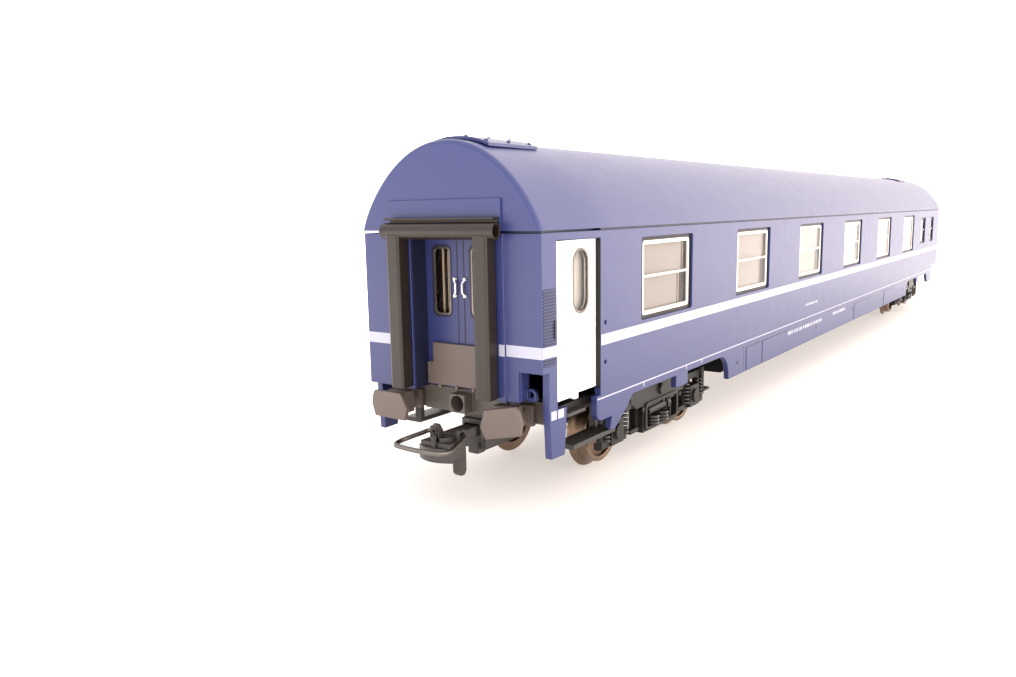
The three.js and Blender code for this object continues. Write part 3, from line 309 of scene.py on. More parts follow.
MAT = {
    "blue": moulded_plastic("body_blue", (0.020, 0.028, 0.115), 0.40, (0.05, 0.06, 0.16)),
    # Dark navy for joints, seams and seals, and as painted shade in the louvre slots, skirt notches and
    # gangway recess.
    "navy": moulded_plastic("navy_joints_and_shade", (0.006, 0.008, 0.030), 0.50, (0.02, 0.02, 0.05)),
    "white": moulded_plastic("door_white", (0.88, 0.88, 0.86), 0.38, (0.80, 0.79, 0.76), 0.006),
    # Near-black ring inside each side window's opening: painted shade of the opening's walls.
    "opening_shade": moulded_plastic("opening_shade_black", (0.004, 0.004, 0.006), 0.45, (0.02, 0.02, 0.03), 0.01, 1.3),
    "print": moulded_plastic("print_white", (0.36, 0.37, 0.46), 0.45, (0.66, 0.66, 0.68), 0.004),
    "frame": moulded_plastic("frame_cream", (0.74, 0.66, 0.58), 0.4, (0.66, 0.58, 0.50), 0.004),
    "rubber": moulded_plastic("rubber_grey", (0.016, 0.011, 0.008), 0.34, (0.06, 0.05, 0.045), 0.02, 1.4),
    "buffer": moulded_plastic("buffer_grey", (0.098, 0.075, 0.064), 0.5, (0.17, 0.14, 0.12), 0.02),
    "beam": moulded_plastic("beam_grey", (0.070, 0.056, 0.048), 0.45, (0.09, 0.075, 0.065), 0.02),
    "step": moulded_plastic("step_black", (0.020, 0.017, 0.015), 0.5, (0.06, 0.055, 0.05), 0.02),
    "chassis": moulded_plastic("chassis_black", (0.008, 0.008, 0.008), 0.5, (0.04, 0.036, 0.034), 0.02, 1.3),
    "bogie": moulded_plastic("bogie_black", (0.009, 0.008, 0.007), 0.42, (0.05, 0.044, 0.04), 0.02, 1.35),
    "spring": moulded_plastic("spring_black", (0.010, 0.009, 0.008), 0.26, (0.08, 0.07, 0.06), 0.01, 1.4),
    "coupler": moulded_plastic("coupler_black", (0.030, 0.025, 0.022), 0.36, (0.07, 0.06, 0.055), 0.01),
    "brown": moulded_plastic("partition_brown", (0.020, 0.012, 0.009), 0.7, (0.04, 0.026, 0.02), 0.01, 1.3),
    "blind": moulded_plastic("blind_cream", (0.215, 0.190, 0.178), 0.6, (0.30, 0.24, 0.20), 0.01),
    "curtain": moulded_plastic("curtain_grey", (0.48, 0.45, 0.42), 0.6, (0.40, 0.37, 0.34), 0.01),
    "cream": moulded_plastic("interior_cream", (0.40, 0.31, 0.22), 0.6, (0.34, 0.26, 0.18), 0.01),
    "wheel": turned_metal("wheel_bronze", (0.23, 0.16, 0.115), 0.36, (0.13, 0.085, 0.06)),
    "steel": turned_metal("turned_steel", (0.50, 0.49, 0.48), 0.35, (0.35, 0.33, 0.31)),
    "trim": turned_metal("window_trim", (0.17, 0.15, 0.135), 0.32, (0.10, 0.09, 0.08)),
    "wire": turned_metal("blackened_wire", (0.13, 0.12, 0.11), 0.32, (0.25, 0.22, 0.20)),
    "clear": clear_plastic("clear_plastic", (0.97, 0.97, 0.96)),
}


# ------------------------------------------------------------------ mesh tools

SHARP_ANGLE = math.radians(32.0)
MERGE_DIST = 1e-7


def flatten_normals(obj):
    """Keeps broad flat faces flat next to their rounded edges, by area-weighted normals."""
    obj.modifiers.new("normals", "WEIGHTED_NORMAL").keep_sharp = True
    bpy.context.view_layer.update()
    graph = bpy.context.evaluated_depsgraph_get()
    shaped = bpy.data.meshes.new_from_object(obj.evaluated_get(graph))
    obj.modifiers.clear()
    obj.data = shaped


def finish_piece(obj, material, body, replaced=(), smooth_angle=35.0):
    """Gives a piece its material, shading and body."""
    obj.data.materials.clear()
    obj.data.materials.append(MAT[material])
    for polygon in obj.data.polygons:
        polygon.use_smooth = True
    obj.data.set_sharp_from_angle(angle=math.radians(smooth_angle))
    flatten_normals(obj)
    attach(obj, body)
    if replaced:
        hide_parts(*replaced)
    return obj


def object_from(bm, name):
    """Turns a bmesh into an object of the scene and frees it."""
    mesh = bpy.data.meshes.new(name)
    bm.normal_update()
    bm.to_mesh(mesh)
    bm.free()
    obj = bpy.data.objects.new(name, mesh)
    bpy.context.scene.collection.objects.link(obj)
    return obj


def bevel_sharp(bm, width, segments=2):
    """Rounds every edge sharper than SHARP_ANGLE."""
    edges = [e for e in bm.edges if e.is_manifold and e.calc_face_angle(0.0) > SHARP_ANGLE]
    if edges:
        bmesh.ops.bevel(bm, geom=edges, offset=width * MM, segments=segments, profile=0.5,
                        affect="EDGES", clamp_overlap=False, loop_slide=True)


def refined(node, material, bevel):
    """A CAD node's own shape with its edges rounded as a moulding's are."""
    bm = bmesh.new()
    bm.from_mesh(NODES[node].data)
    bmesh.ops.remove_doubles(bm, verts=bm.verts, dist=MERGE_DIST)
    bmesh.ops.dissolve_limit(bm, angle_limit=math.radians(0.8), verts=bm.verts, edges=bm.edges)
    bevel_sharp(bm, bevel)
    obj = object_from(bm, node + "_piece")
    return finish_piece(obj, material, NODES[node]["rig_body"], (node,))


def rounded_outline(a0, a1, b0, b1, r, steps=5):
    """Rectangle with round corners, counter-clockwise."""
    centres = ((a1 - r, b0 + r), (a1 - r, b1 - r), (a0 + r, b1 - r), (a0 + r, b0 + r))
    points = []
    for quarter, (ca, cb) in enumerate(centres):
        start = 90 * (quarter - 1)
        for i in range(steps + 1):
            angle = math.radians(start + 90 * i / steps)
            points.append((ca + r * math.cos(angle), cb + r * math.sin(angle)))
    return points


def grown_outline(a0, a1, b0, b1, margin, r, steps):
    """Rectangle with round corners, grown by a margin on every side."""
    return rounded_outline(a0 - margin, a1 + margin, b0 - margin, b1 + margin, r, steps)


def add_ring(bm, outer, inner, place, depth0, depth1):
    """A frame between two outlines of equal length; place(a, b, depth) gives each point."""
    loops = []
    for outline, depth in ((outer, depth0), (outer, depth1), (inner, depth1), (inner, depth0)):
        loops.append([bm.verts.new(place(a, b, depth)) for a, b in outline])
    count = len(outer)
    for k in range(4):
        first, second = loops[k], loops[(k + 1) % 4]
        for i in range(count):
            j = (i + 1) % count
            bm.faces.new((first[i], first[j], second[j], second[i]))


def wire(name, points, radius, material, body, replaced, place):
    """Round wire through points given as (s, y, z)."""
    curve = bpy.data.curves.new(name, "CURVE")
    curve.dimensions = "3D"
    curve.bevel_depth = radius * MM
    curve.bevel_resolution = 4
    curve.use_fill_caps = True
    spline = curve.splines.new("BEZIER")
    spline.bezier_points.add(len(points) - 1)
    for knot, point in zip(spline.bezier_points, points):
        knot.co = place(*point)
        knot.handle_left_type = "AUTO"
        knot.handle_right_type = "AUTO"
    spline.resolution_u = 8
    holder = bpy.data.objects.new(name + "_curve", curve)
    bpy.context.scene.collection.objects.link(holder)
    mesh = bpy.data.meshes.new_from_object(holder)
    bpy.data.objects.remove(holder)
    obj = bpy.data.objects.new(name, mesh)
    bpy.context.scene.collection.objects.link(obj)
    return finish_piece(obj, material, body, replaced, 60.0)


# ------------------------------------------------------------------ places on the coach

# Each end is built once in near-end coordinates; the far end is the same, turned half a turn.
ENDS = (("front", 1), ("rear", -1))


def end_at(sign):
    """Maps near-end coordinates to one end of the coach."""
    def place(s, y, z):
        near = at(s, y, z)
        return Vector((near.x * sign, near.y * sign, near.z))
    return place


def beside(side, plane):
    """Maps (s, out, z) to a point outside a plane along one side of the coach."""
    return lambda s, out, z: at(s, side * (plane + out), z)


def facing(side, plane):
    """The same for a ring, whose depth comes last."""
    return lambda s, z, out: at(s, side * (plane + out), z)


def taper_y(s):
    """Half width of the body at s."""
    return END_HALF_W + (HALF_W - END_HALF_W) * min(s / VESTIBULE_L, 1.0)


BLOCK_FACES = ((0, 1, 3, 2), (4, 6, 7, 5), (0, 4, 5, 1), (2, 3, 7, 6), (0, 2, 6, 4), (1, 5, 7, 3))


def add_block(bm, place, s0, s1, y0, y1, z0, z1):
    """Box between two corners, through a placing function."""
    corners = [bm.verts.new(place(s, y, z)) for s in (s0, s1) for y in (y0, y1) for z in (z0, z1)]
    for quad in BLOCK_FACES:
        bm.faces.new([corners[i] for i in quad])


def finish_bm(bm, name, material, body, bevel=0.0, replaced=(), segments=2):
    """Closes a bmesh into a finished piece."""
    bmesh.ops.recalc_face_normals(bm, faces=bm.faces)
    if bevel:
        bevel_sharp(bm, bevel, segments)
    return finish_piece(object_from(bm, name), material, body, replaced)


# ------------------------------------------------------------------ printing on the body

PRINT_PROUD = 0.02


def add_ribbon(bm, path, low, high):
    """Printed band along a plan path of (s, y), a hair outside the surface on the path's right."""
    lower, upper = [], []
    for i, (s, y) in enumerate(path):
        before = Vector(path[max(i - 1, 0)])
        after = Vector(path[min(i + 1, len(path) - 1)])
        along = (after - before).normalized()
        place = (s + along.y * PRINT_PROUD, y - along.x * PRINT_PROUD)
        lower.append(bm.verts.new(at(*place, low)))
        upper.append(bm.verts.new(at(*place, high)))
    for i in range(len(path) - 1):
        bm.faces.new((lower[i], lower[i + 1], upper[i + 1], upper[i]))


def mirrored(path):
    """The same band on the +Y side, run the other way."""
    return [(s, -y) for s, y in reversed(path)]


def add_printing():
    """Waist stripe, thin line with its ticks, and the leg's two fields, on both sides and both ends."""
    bm = bmesh.new()
    door = 3.3
    jamb = VESTIBULE_L + 0.1
    line_start = 12.7
    line_end = BODY_L - 11.6
    uprights = 8.9
    near_pad, far_pad = -PAD_THICK, BODY_L + PAD_THICK
    stripes = (
        [(0.0, -END_HALF_W), (door, -taper_y(door))],
        [(jamb, -HALF_W), (BODY_L, -HALF_W)],
        [(0.0, -PAD_HALF_W), (0.0, -END_HALF_W)],
        [(near_pad, -uprights), (near_pad, -PAD_HALF_W)],
        [(BODY_L, -HALF_W), (BODY_L, -PAD_HALF_W)],
        [(far_pad, -PAD_HALF_W), (far_pad, -uprights)],
    )
    thin_line = [(line_start, -taper_y(line_start)), (VESTIBULE_L, -HALF_W), (line_end, -HALF_W)]
    side_paths = [(path, STRIPE_LOW, STRIPE_HIGH) for path in stripes]
    side_paths.append((thin_line, LINE_LOW, LINE_HIGH))
    tick_width, tick_height = 0.28, 0.6
    for s in (27.0, 43.1, 49.8):
        for mark in (s, BODY_L - s):
            tick = [(mark, -HALF_W), (mark + tick_width, -HALF_W)]
            side_paths.append((tick, LINE_LOW - tick_height, LINE_LOW))
    field_low, field_high = 13.5, 14.7
    for s0, s1 in ((1.75, 2.95), (3.25, 4.6)):
        side_paths.append(([(s0, -taper_y(s0)), (s1, -taper_y(s1))], field_low, field_high))
    for path, low, high in side_paths:
        add_ribbon(bm, path, low, high)
        add_ribbon(bm, mirrored(path), low, high)
    finish_piece(object_from(bm, "printed_stripes"), "print", COACH)


def add_data_marks():
    """Rows of small plain marks where a coach carries its data panels."""
    bm = bmesh.new()
    rng = random.Random(7)
    rows = ((98.0, 126.0, 11.9, 12.7), (137.0, 150.0, 12.2, 13.0), (112.0, 122.0, 17.2, 17.7))
    for start, end, low, high in rows:
        s = start
        while s < end:
            length = rng.uniform(0.5, 1.5)
            path = [(s, -HALF_W), (s + length, -HALF_W)]
            add_ribbon(bm, path, low, high)
            add_ribbon(bm, mirrored(path), low, high)
            s += length + rng.uniform(0.35, 0.9)
    finish_piece(object_from(bm, "data_marks"), "print", COACH)


# ------------------------------------------------------------------ louvre, door and side windows

def add_louvres():
    """Slatted vents in both vestibule corners, with a dark navy sheet behind the slats and a small dark
    block beside them as painted shade of the slots and of a handle recess; the stripe runs across the slats.
    """
    first, last = 0.25, 2.95
    low, high, count = 20.8, 30.9, 24
    pitch = (high - low) / count
    slat_low, slat_high = 0.12, 0.3
    short_last, short_low, short_high = 2.42, 24.0, 26.8
    slats = {"blue": bmesh.new(), "print": bmesh.new()}
    slot_shade = bmesh.new()
    for side in (-1, 1):
        def place(s, out, z):
            return at(s, side * (taper_y(s) + out), z)
        # Dark navy sheet behind the slats and dark block beside them: painted shade of the slots and of a
        # handle recess.
        add_block(slot_shade, place, first, last, -0.2, 0.015, low, high)
        add_block(slot_shade, place, 2.5, 2.9, 0.0, 0.2, 24.3, 26.7)
        for i in range(count):
            z = low + i * pitch
            choice = "print" if STRIPE_LOW < z + pitch / 2 < STRIPE_HIGH else "blue"
            end = short_last if short_low < z < short_high else last
            add_block(slats[choice], place, first, end, -0.1, 0.13, z + slat_low, z + slat_high)
    finish_bm(slot_shade, "louvre_shadow", "navy", COACH)
    finish_bm(slats["blue"], "louvre_slats", "blue", COACH, 0.04, segments=1)
    finish_bm(slats["print"], "louvre_slats_printed", "print", COACH, 0.04, segments=1)


def add_door_trim():
    """Window rings, blinds behind the glass, and black strips on the jambs and along the heads of the two
    entrance doors as painted shade of the door recesses.
    """
    rings, blinds, jamb_shade = bmesh.new(), bmesh.new(), bmesh.new()
    s, half = DOOR_WINDOW["middle"], DOOR_WINDOW["half"]
    low, high = DOOR_WINDOW["low"], DOOR_WINDOW["high"]
    outer = grown_outline(s - half, s + half, low, high, 0.18, half + 0.17, 8)
    inner = grown_outline(s - half, s + half, low, high, -0.2, half - 0.22, 8)
    for side in (-1, 1):
        place = beside(side, 0.0)
        add_ring(rings, outer, inner, facing(side, DOOR_FACE_Y), -0.3, 0.08)
        add_block(blinds, place, s - 2.6, s + 2.6, 14.2, 14.25, low - 0.8, high + 0.5)
        # Black strips on the jamb face and along the door head: painted shade of the door recess.
        add_block(jamb_shade, place, 13.48, 13.63, 15.1, 16.42, 15.8, 37.0)
        add_block(jamb_shade, place, 3.3, 13.6, 15.1, 15.9, 36.93, 37.02)
    finish_bm(rings, "door_window_rings", "trim", COACH, 0.05)
    finish_bm(blinds, "door_blinds", "curtain", COACH)
    finish_bm(jamb_shade, "door_jamb_shade", "chassis", COACH)


def add_opening(parts, side, s0, s1, low, high):
    """Near-black ring of painted shade inside the opening, and clear pane, of one side window."""
    outer = grown_outline(s0, s1, low, high, -0.01, 0.35, 3)
    inner = rounded_outline(s0 + 1.0, s1 - 1.0, low + 0.75, high - 0.75, 0.5, 3)
    # Near-black ring: painted shade of the opening's walls.
    add_ring(parts["opening_shade"], outer, inner, facing(side, GLASS_Y), -0.4, 0.02)
    place = beside(side, GLASS_Y)
    add_block(parts["pane"], place, s0 + 0.3, s1 - 0.3, -0.35, -0.05, low + 0.3, high - 0.3)


def add_framed_window(parts, side, s0, width, low, high):
    """Window with a cream frame and divider, and the blind and partition behind it."""
    s1 = s0 + width
    divider = low + (high - low) * DIVIDER_SHARE
    add_opening(parts, side, s0, s1, low, high)
    outer = rounded_outline(s0 + 0.9, s1 - 0.95, low + 0.6, high - 0.55, 0.55)
    inner = rounded_outline(s0 + 1.3, s1 - 1.5, low + 1.25, high - 1.15, 0.3)
    add_ring(parts["frame"], outer, inner, facing(side, GLASS_Y), -0.3, 0.1)
    place = beside(side, GLASS_Y)
    add_block(parts["frame"], place, s0 + 0.9, s1 - 0.9, -0.1, 0.06, divider - 0.2, divider + 0.2)
    halves = ((divider, high + 0.3, BLIND_SHARE), (low - 0.3, divider, BLIND_SHARE - 0.08))
    for z0, z1, share in halves:
        edge = s0 + width * share
        add_block(parts["blind"], place, s0 - 1.5, edge, -0.75, -0.7, z0, z1)
        add_block(parts["dark"], place, edge, s1 + 2.0, -0.95, -0.9, z0, z1)
        add_block(parts["stripe"], place, edge + 0.75, edge + 1.0, -0.9, -0.8, z0, z1)


def add_small_window(parts, side, s0, width, low, high):
    """Frameless window with one bar across it, and a dark brown sheet behind it as painted shade of the
    room.
    """
    s1 = s0 + width
    divider = low + (high - low) * DIVIDER_SHARE
    add_opening(parts, side, s0, s1, low, high)
    place = beside(side, GLASS_Y)
    add_block(parts["bar"], place, s0 + 0.4, s1 - 0.4, -0.1, 0.1, divider - 0.25, divider + 0.25)
    # Dark brown sheet behind the glass: painted shade of the room behind.
    add_block(parts["dark"], place, s0 - 0.3, s1 + 0.3, -0.9, -0.8, low - 0.2, high + 0.2)


def add_side_windows():
    """All windows of both sides: the corridor's on -Y, the compartments' on +Y."""
    parts = {key: bmesh.new() for key in ("opening_shade", "frame", "bar", "pane", "dark", "blind", "stripe")}
    for side, row in ((-1, WIDE), (1, CABIN)):
        for i in range(row["count"]):
            s0 = row["first"] + i * row["pitch"]
            add_framed_window(parts, side, s0, row["width"], row["low"], row["high"])
    small = list(zip(SMALL["starts"], SMALL["widths"]))
    for side, (s0, width) in ((-1, small[0]), (-1, small[1]), (1, small[1])):
        add_small_window(parts, side, s0, width, SMALL["low"], SMALL["high"])
    finish_bm(parts["opening_shade"], "window_opening_shade", "opening_shade", COACH)
    finish_bm(parts["frame"], "window_frames", "frame", COACH, 0.06)
    finish_bm(parts["bar"], "small_window_bars", "blind", COACH, 0.05)
    glazings = ("glazing_corridor", "glazing_cabins")
    finish_bm(parts["pane"], "window_panes", "clear", COACH, replaced=glazings)
    # Brown partitions behind the framed windows, and painted room shade behind the small ones.
    finish_bm(parts["dark"], "window_partitions_and_room_shade", "brown", COACH)
    finish_bm(parts["blind"], "window_blinds", "blind", COACH)
    finish_bm(parts["stripe"], "partition_edges", "cream", COACH)


# ------------------------------------------------------------------ skirts

HATCHES = ((72.5, 81.5), (82.0, 99.0), (160.0, 178.0), (199.0, 214.0))
SKIRT_NOTCHES = ((67.5, 10.8), (122.0, 10.9), (158.5, 11.7), (196.0, 10.7), (231.0, 10.8))


def add_skirt_details():
    """Hatches, the dark joints around them, and dark patches painted as the shade in the small notches along
    both skirts.
    """
    panels, joints_and_notch_shade = bmesh.new(), bmesh.new()
    low, high, joint = 8.5, 13.0, 0.14
    for side in (-1, 1):
        place = beside(side, HALF_W)
        for s0, s1 in HATCHES:
            add_block(joints_and_notch_shade, place, s0 - joint, s1 + joint, -0.1, 0.015, low, high + joint)
            add_block(panels, place, s0, s1, -0.1, 0.09, low, high)
        add_block(joints_and_notch_shade, place, 70.85, 71.0, -0.1, 0.015, 8.25, 13.6)
        # Dark navy patches at the notches: painted shade in them.
        for s, z in SKIRT_NOTCHES:
            add_block(joints_and_notch_shade, place, s - 0.7, s + 0.7, -0.1, 0.02, z - 0.3, z + 0.3)
    finish_bm(panels, "skirt_hatches", "blue", COACH, 0.05)
    finish_bm(joints_and_notch_shade, "skirt_joints_and_notch_shade", "navy", COACH)


# ------------------------------------------------------------------ coach ends

GANGWAY_HANDLE = (
    (2.7, 0.88, 31.5), (2.6, 0.86, 31.3), (2.55, 0.66, 31.1), (2.5, 0.6, 30.9),
    (2.5, 0.6, 29.8), (2.55, 0.66, 29.6), (2.6, 0.86, 29.4), (2.7, 0.88, 29.2),
)
RECESS_HALF_W, RECESS_TOP, LINING_THICK = 6.42, 37.32, 0.05


def add_recess_shade_lining(end, here):
    """Dark navy sheets on the walls and ceiling of the recess in front of the gangway door: painted shade of
    the recess.
    """
    lining = bmesh.new()
    inside = RECESS_HALF_W - LINING_THICK
    under = RECESS_TOP - LINING_THICK
    for y0, y1 in ((-RECESS_HALF_W, -inside), (inside, RECESS_HALF_W)):
        add_block(lining, here, 0.1, 2.98, y0, y1, 15.8, RECESS_TOP)
    add_block(lining, here, 0.1, 2.98, -6.4, 6.4, under, RECESS_TOP)
    finish_bm(lining, f"gangway_recess_shade_{end}", "navy", COACH)


def add_gangway_door(end, here):
    """Window trim, curtains, handles and grooves of the two-leaf gangway door."""
    rings, seals, panels, stripes, handles, grooves = (bmesh.new() for _ in range(6))
    low, high = GANGWAY_WINDOW["low"], GANGWAY_WINDOW["high"]

    def on_door(y, z, depth):
        return here(NICHE_DEPTH + depth, y, z)

    for side in (-1, 1):
        y0, y1 = sorted((side * GANGWAY_WINDOW["inner"], side * GANGWAY_WINDOW["outer"]))
        seal_outer = grown_outline(y0, y1, low, high, 0.28, 1.0, 6)
        seal_inner = grown_outline(y0, y1, low, high, 0.02, 0.8, 6)
        add_ring(seals, seal_outer, seal_inner, on_door, 0.1, -0.06)
        ring_outer = grown_outline(y0, y1, low, high, 0.0, 0.8, 6)
        ring_inner = grown_outline(y0, y1, low, high, -0.32, 0.6, 6)
        add_ring(rings, ring_outer, ring_inner, on_door, 0.3, -0.02)
        add_block(panels, here, 4.6, 4.65, y0 - 0.4, y1 + 0.4, low - 0.7, high + 0.7)
        for share in (0.15, 0.4, 0.72):
            y = y0 + share * (y1 - y0)
            add_block(stripes, here, 4.45, 4.6, y, y + 0.3, low - 0.5, high + 0.5)
        add_tube(handles, here, [(s, y * side, z) for s, y, z in GANGWAY_HANDLE], 0.13, 10)
        for z in (31.55, 29.15):
            y = side * 0.9
            add_block(handles, here, 2.62, 3.0, y - 0.19, y + 0.19, z - 0.17, z + 0.17)
    for y in (-0.58, 0.58):
        add_block(grooves, here, 2.985, 3.2, y - 0.1, y + 0.1, 22.4, 37.2)
    finish_bm(handles, f"gangway_door_handles_{end}", "white", COACH)
    finish_bm(seals, f"gangway_door_seals_{end}", "navy", COACH, 0.04)
    finish_bm(rings, f"gangway_door_rings_{end}", "trim", COACH, 0.05)
    finish_bm(panels, f"gangway_door_panels_{end}", "brown", COACH)
    finish_bm(stripes, f"gangway_door_curtains_{end}", "cream", COACH)
    finish_bm(grooves, f"gangway_door_grooves_{end}", "navy", COACH)


def add_end_details(end, sign):
    """Painted shade lining the recess, gangway door trim and footplate tabs of one end."""
    here = end_at(sign)
    add_recess_shade_lining(end, here)
    add_gangway_door(end, here)
    tabs = bmesh.new()
    for y in (3.8, 0.7, -2.4):
        add_block(tabs, here, 2.15, 2.9, y - 0.25, y + 0.25, 15.75, 16.3)
    finish_bm(tabs, f"footplate_tabs_{end}", "buffer", COACH, 0.06)


# ------------------------------------------------------------------ roof

SEAM_GAP = 0.15
END_OVERHANG, END_ROUNDING = 0.4, 0.7


def roof_height(y, half_width=HALF_W + EAVE, rise=ROOF_RISE):
    """Height of the roof's outside above its lower edge."""
    share = min(abs(y) / half_width, 1.0)
    return rise * (1.0 - share ** ROOF_CURVE[0]) ** ROOF_CURVE[1]


def roof_ring(bm, s, inset, half_width):
    """One cross-section of the roof, from the +Y eave over the top to the -Y eave."""
    steps = 96
    half = half_width - inset
    ring = []
    for i in range(steps + 1):
        y = half * math.cos(math.pi * i / steps)
        z = SEAM_Z + SEAM_GAP + roof_height(y, half, ROOF_RISE - inset)
        ring.append(bm.verts.new(at(s, y, z)))
    return ring


def roof_stations():
    """Pairs of s and inset along the roof, with a quarter round at both ends."""
    near = []
    for degrees in range(90, -1, -15):
        angle = math.radians(degrees)
        s = -END_OVERHANG + END_ROUNDING * (1 - math.sin(angle))
        near.append((s, END_ROUNDING * (1 - math.cos(angle))))
    middle = [(s, 0.0) for s in (2, 4, 6, 8, 10, 12, 14, 16, 18, 60, 120, 180, 240)]
    far = [(BODY_L - s, inset) for s, inset in reversed(near)]
    return near + middle + far


def add_roof_skin():
    """Roof with rounded end edges and sides that draw in gently over the vestibule."""
    bm = bmesh.new()
    draw_length = 17.0
    rings = []
    for s, inset in roof_stations():
        drawn = 0.5 - 0.5 * math.cos(math.pi * min(max(s, 0.0) / draw_length, 1.0))
        half_width = END_HALF_W + EAVE + (HALF_W - END_HALF_W) * drawn
        rings.append(roof_ring(bm, s, inset, half_width))
    for first, second in zip(rings, rings[1:]):
        for i in range(len(first) - 1):
            bm.faces.new((first[i], second[i], second[i + 1], first[i + 1]))
        bm.faces.new((first[-1], second[-1], second[0], first[0]))
    bm.faces.new(rings[0])
    bm.faces.new(rings[-1])
    finish_bm(bm, "roof_piece", "blue", COACH, replaced=("roof",))


def add_roof():
    """The roof's skin, the pads on its two ends and the dark seam under it."""
    add_roof_skin()
    pads = bmesh.new()
    outside = END_OVERHANG + PAD_THICK
    for s0, s1 in ((-outside, 1.0), (BODY_L - 1.0, BODY_L + outside)):
        add_block(pads, at, s0, s1, -PAD_HALF_W, PAD_HALF_W, SEAM_Z + SEAM_GAP, 42.6)
    finish_bm(pads, "roof_end_pads", "blue", COACH, 0.12)
    seam = bmesh.new()
    seam_low, seam_high = SEAM_Z - 0.2, SEAM_Z + 0.2
    add_block(seam, at, 14.0, BODY_L - 0.4, -16.2, 16.2, seam_low, seam_high)
    add_block(seam, at, 0.35, 14.1, -15.3, 13.0, seam_low, seam_high)
    finish_bm(seam, "roof_seam", "navy", COACH)


def add_roof_rivets():
    """Small rivet heads on the vent plates at both roof ends."""
    bm = bmesh.new()
    flattened = Matrix.Diagonal((1.0, 1.0, 0.6, 1.0))
    for s0, s1 in VENT_PLATES:
        for s in (s0 + 0.8, (s0 + s1) / 2, s1 - 0.8):
            for y in (-5.0, -1.6, 1.6, 5.0):
                matrix = Matrix.Translation(at(s, y, SEAM_Z + 0.7 + roof_height(y))) @ flattened
                bmesh.ops.create_uvsphere(bm, u_segments=12, v_segments=8, radius=0.32 * MM, matrix=matrix)
    finish_piece(object_from(bm, "roof_plate_rivets"), "blue", COACH)


# ------------------------------------------------------------------ running gear

def lathe(name, profile, centre, material, body, replaced, segments=64):
    """Turned part about an axis across the coach; the profile holds (radius, y)."""
    bm = bmesh.new()
    rings = []
    for radius, y in profile:
        ring = []
        for i in range(segments):
            angle = 2 * math.pi * i / segments
            offset = Vector((radius * math.cos(angle), y, radius * math.sin(angle))) * MM
            ring.append(bm.verts.new(centre + offset))
        rings.append(ring)
    hollow = profile[0][0] > 0.01
    following = rings[1:] + rings[:1] if hollow else rings[1:]
    for first, second in zip(rings, following):
        for i in range(segments):
            j = (i + 1) % segments
            bm.faces.new((first[i], first[j], second[j], second[i]))
    bmesh.ops.remove_doubles(bm, verts=bm.verts, dist=MERGE_DIST)
    bmesh.ops.recalc_face_normals(bm, faces=bm.faces)
    return finish_piece(object_from(bm, name), material, body, replaced, 28.0)


WHEEL_PROFILE = [
    (1.05, 7.2), (2.0, 7.2), (2.2, 7.5), (4.4, 7.55), (4.7, 7.2), (5.9, 7.2), (6.15, 7.3), (6.25, 7.5),
    (6.15, 7.72), (5.75, 7.9), (5.42, 8.1), (5.34, 8.4), (5.22, 9.9), (5.1, 10.0), (4.55, 10.0), (4.42, 9.9),
    (4.3, 9.35), (4.1, 9.2), (2.2, 9.45), (1.9, 9.6), (1.8, 9.95), (1.05, 10.0),
]
AXLE_PROFILE = [
    (0.001, -11.65), (0.45, -11.6), (0.5, -11.0), (0.98, -10.4),
    (0.98, 10.4), (0.5, 11.0), (0.45, 11.6), (0.001, 11.65),
]


def add_wheelsets():
    """Four turned wheelsets, each on its own body."""
    for end, sign in ENDS:
        for which, offset in (("outer", -HALF_WHEELBASE), ("inner", HALF_WHEELBASE)):
            body = f"wheelset_{end}_{which}"
            near = at(PIVOT_S + offset, 0, AXLE_Z)
            centre = Vector((near.x * sign, 0, near.z))
            for side, y_sign in (("left", sign), ("right", -sign)):
                profile = [(radius, y * y_sign) for radius, y in WHEEL_PROFILE]
                node = f"wheel_{end}_{which}_{side}"
                lathe(node + "_piece", profile, centre, "wheel", body, (node,))
            node = f"axle_{end}_{which}"
            lathe(node + "_piece", AXLE_PROFILE, centre, "steel", body, (node,), 24)


def spring_points(s, y, low, high, radius, turns, steps=14):
    """Centre line of a coil spring with an upright axis."""
    points = []
    for i in range(turns * steps + 1):
        angle = 2 * math.pi * i / steps
        share = i / (turns * steps)
        z = low + share * (high - low)
        points.append((s + radius * math.cos(angle), y + radius * math.sin(angle), z))
    return points


def add_tube(bm, place, points, radius, sides=8):
    """Round bar through points in near-end coordinates."""
    rings = []
    line = [place(*p) for p in points]
    for i, centre in enumerate(line):
        along = (line[min(i + 1, len(line) - 1)] - line[max(i - 1, 0)]).normalized()
        across = along.cross(Vector((0, 0, 1)))
        if across.length < 0.1:
            across = along.cross(Vector((1, 0, 0)))
        across.normalize()
        other = across.cross(along)
        ring = []
        for k in range(sides):
            angle = 2 * math.pi * k / sides
            spoke = across * math.cos(angle) + other * math.sin(angle)
            ring.append(bm.verts.new(centre + spoke * radius * MM))
        rings.append(ring)
    for first, second in zip(rings, rings[1:]):
        for k in range(sides):
            j = (k + 1) % sides
            bm.faces.new((first[k], first[j], second[j], second[k]))
    bm.faces.new(rings[0])
    bm.faces.new(rings[-1])


AXLE_SPRING = {"y": 12.15, "low": 5.2, "high": 9.3, "radius": 0.85, "turns": 6}
CENTRE_SPRING = {"y": 12.6, "low": 4.75, "high": 6.5, "radius": 1.25, "turns": 3}
DAMPER = [(35.2, 12.9, 7.35), (36.0, 12.9, 7.35), (42.2, 12.9, 7.45), (43.6, 12.9, 7.45)]
DAMPER_SLEEVE = [(41.9, 12.9, 7.45), (42.9, 12.9, 7.45)]
# Each bracket is s0, s1, y0, y1, z0, z1.
BOGIE_BRACKETS = (
    (43.9, 44.3, 12.6, 13.2, 4.6, 8.4),
    (29.6, 32.4, 11.3, 12.9, 4.6, 5.3),
    (48.2, 51.0, 11.3, 12.9, 4.6, 5.3),
    (59.7, 62.6, 11.2, 12.9, 6.1, 6.5),
    (27.6, 29.6, 12.2, 13.0, 8.9, 10.2),
)


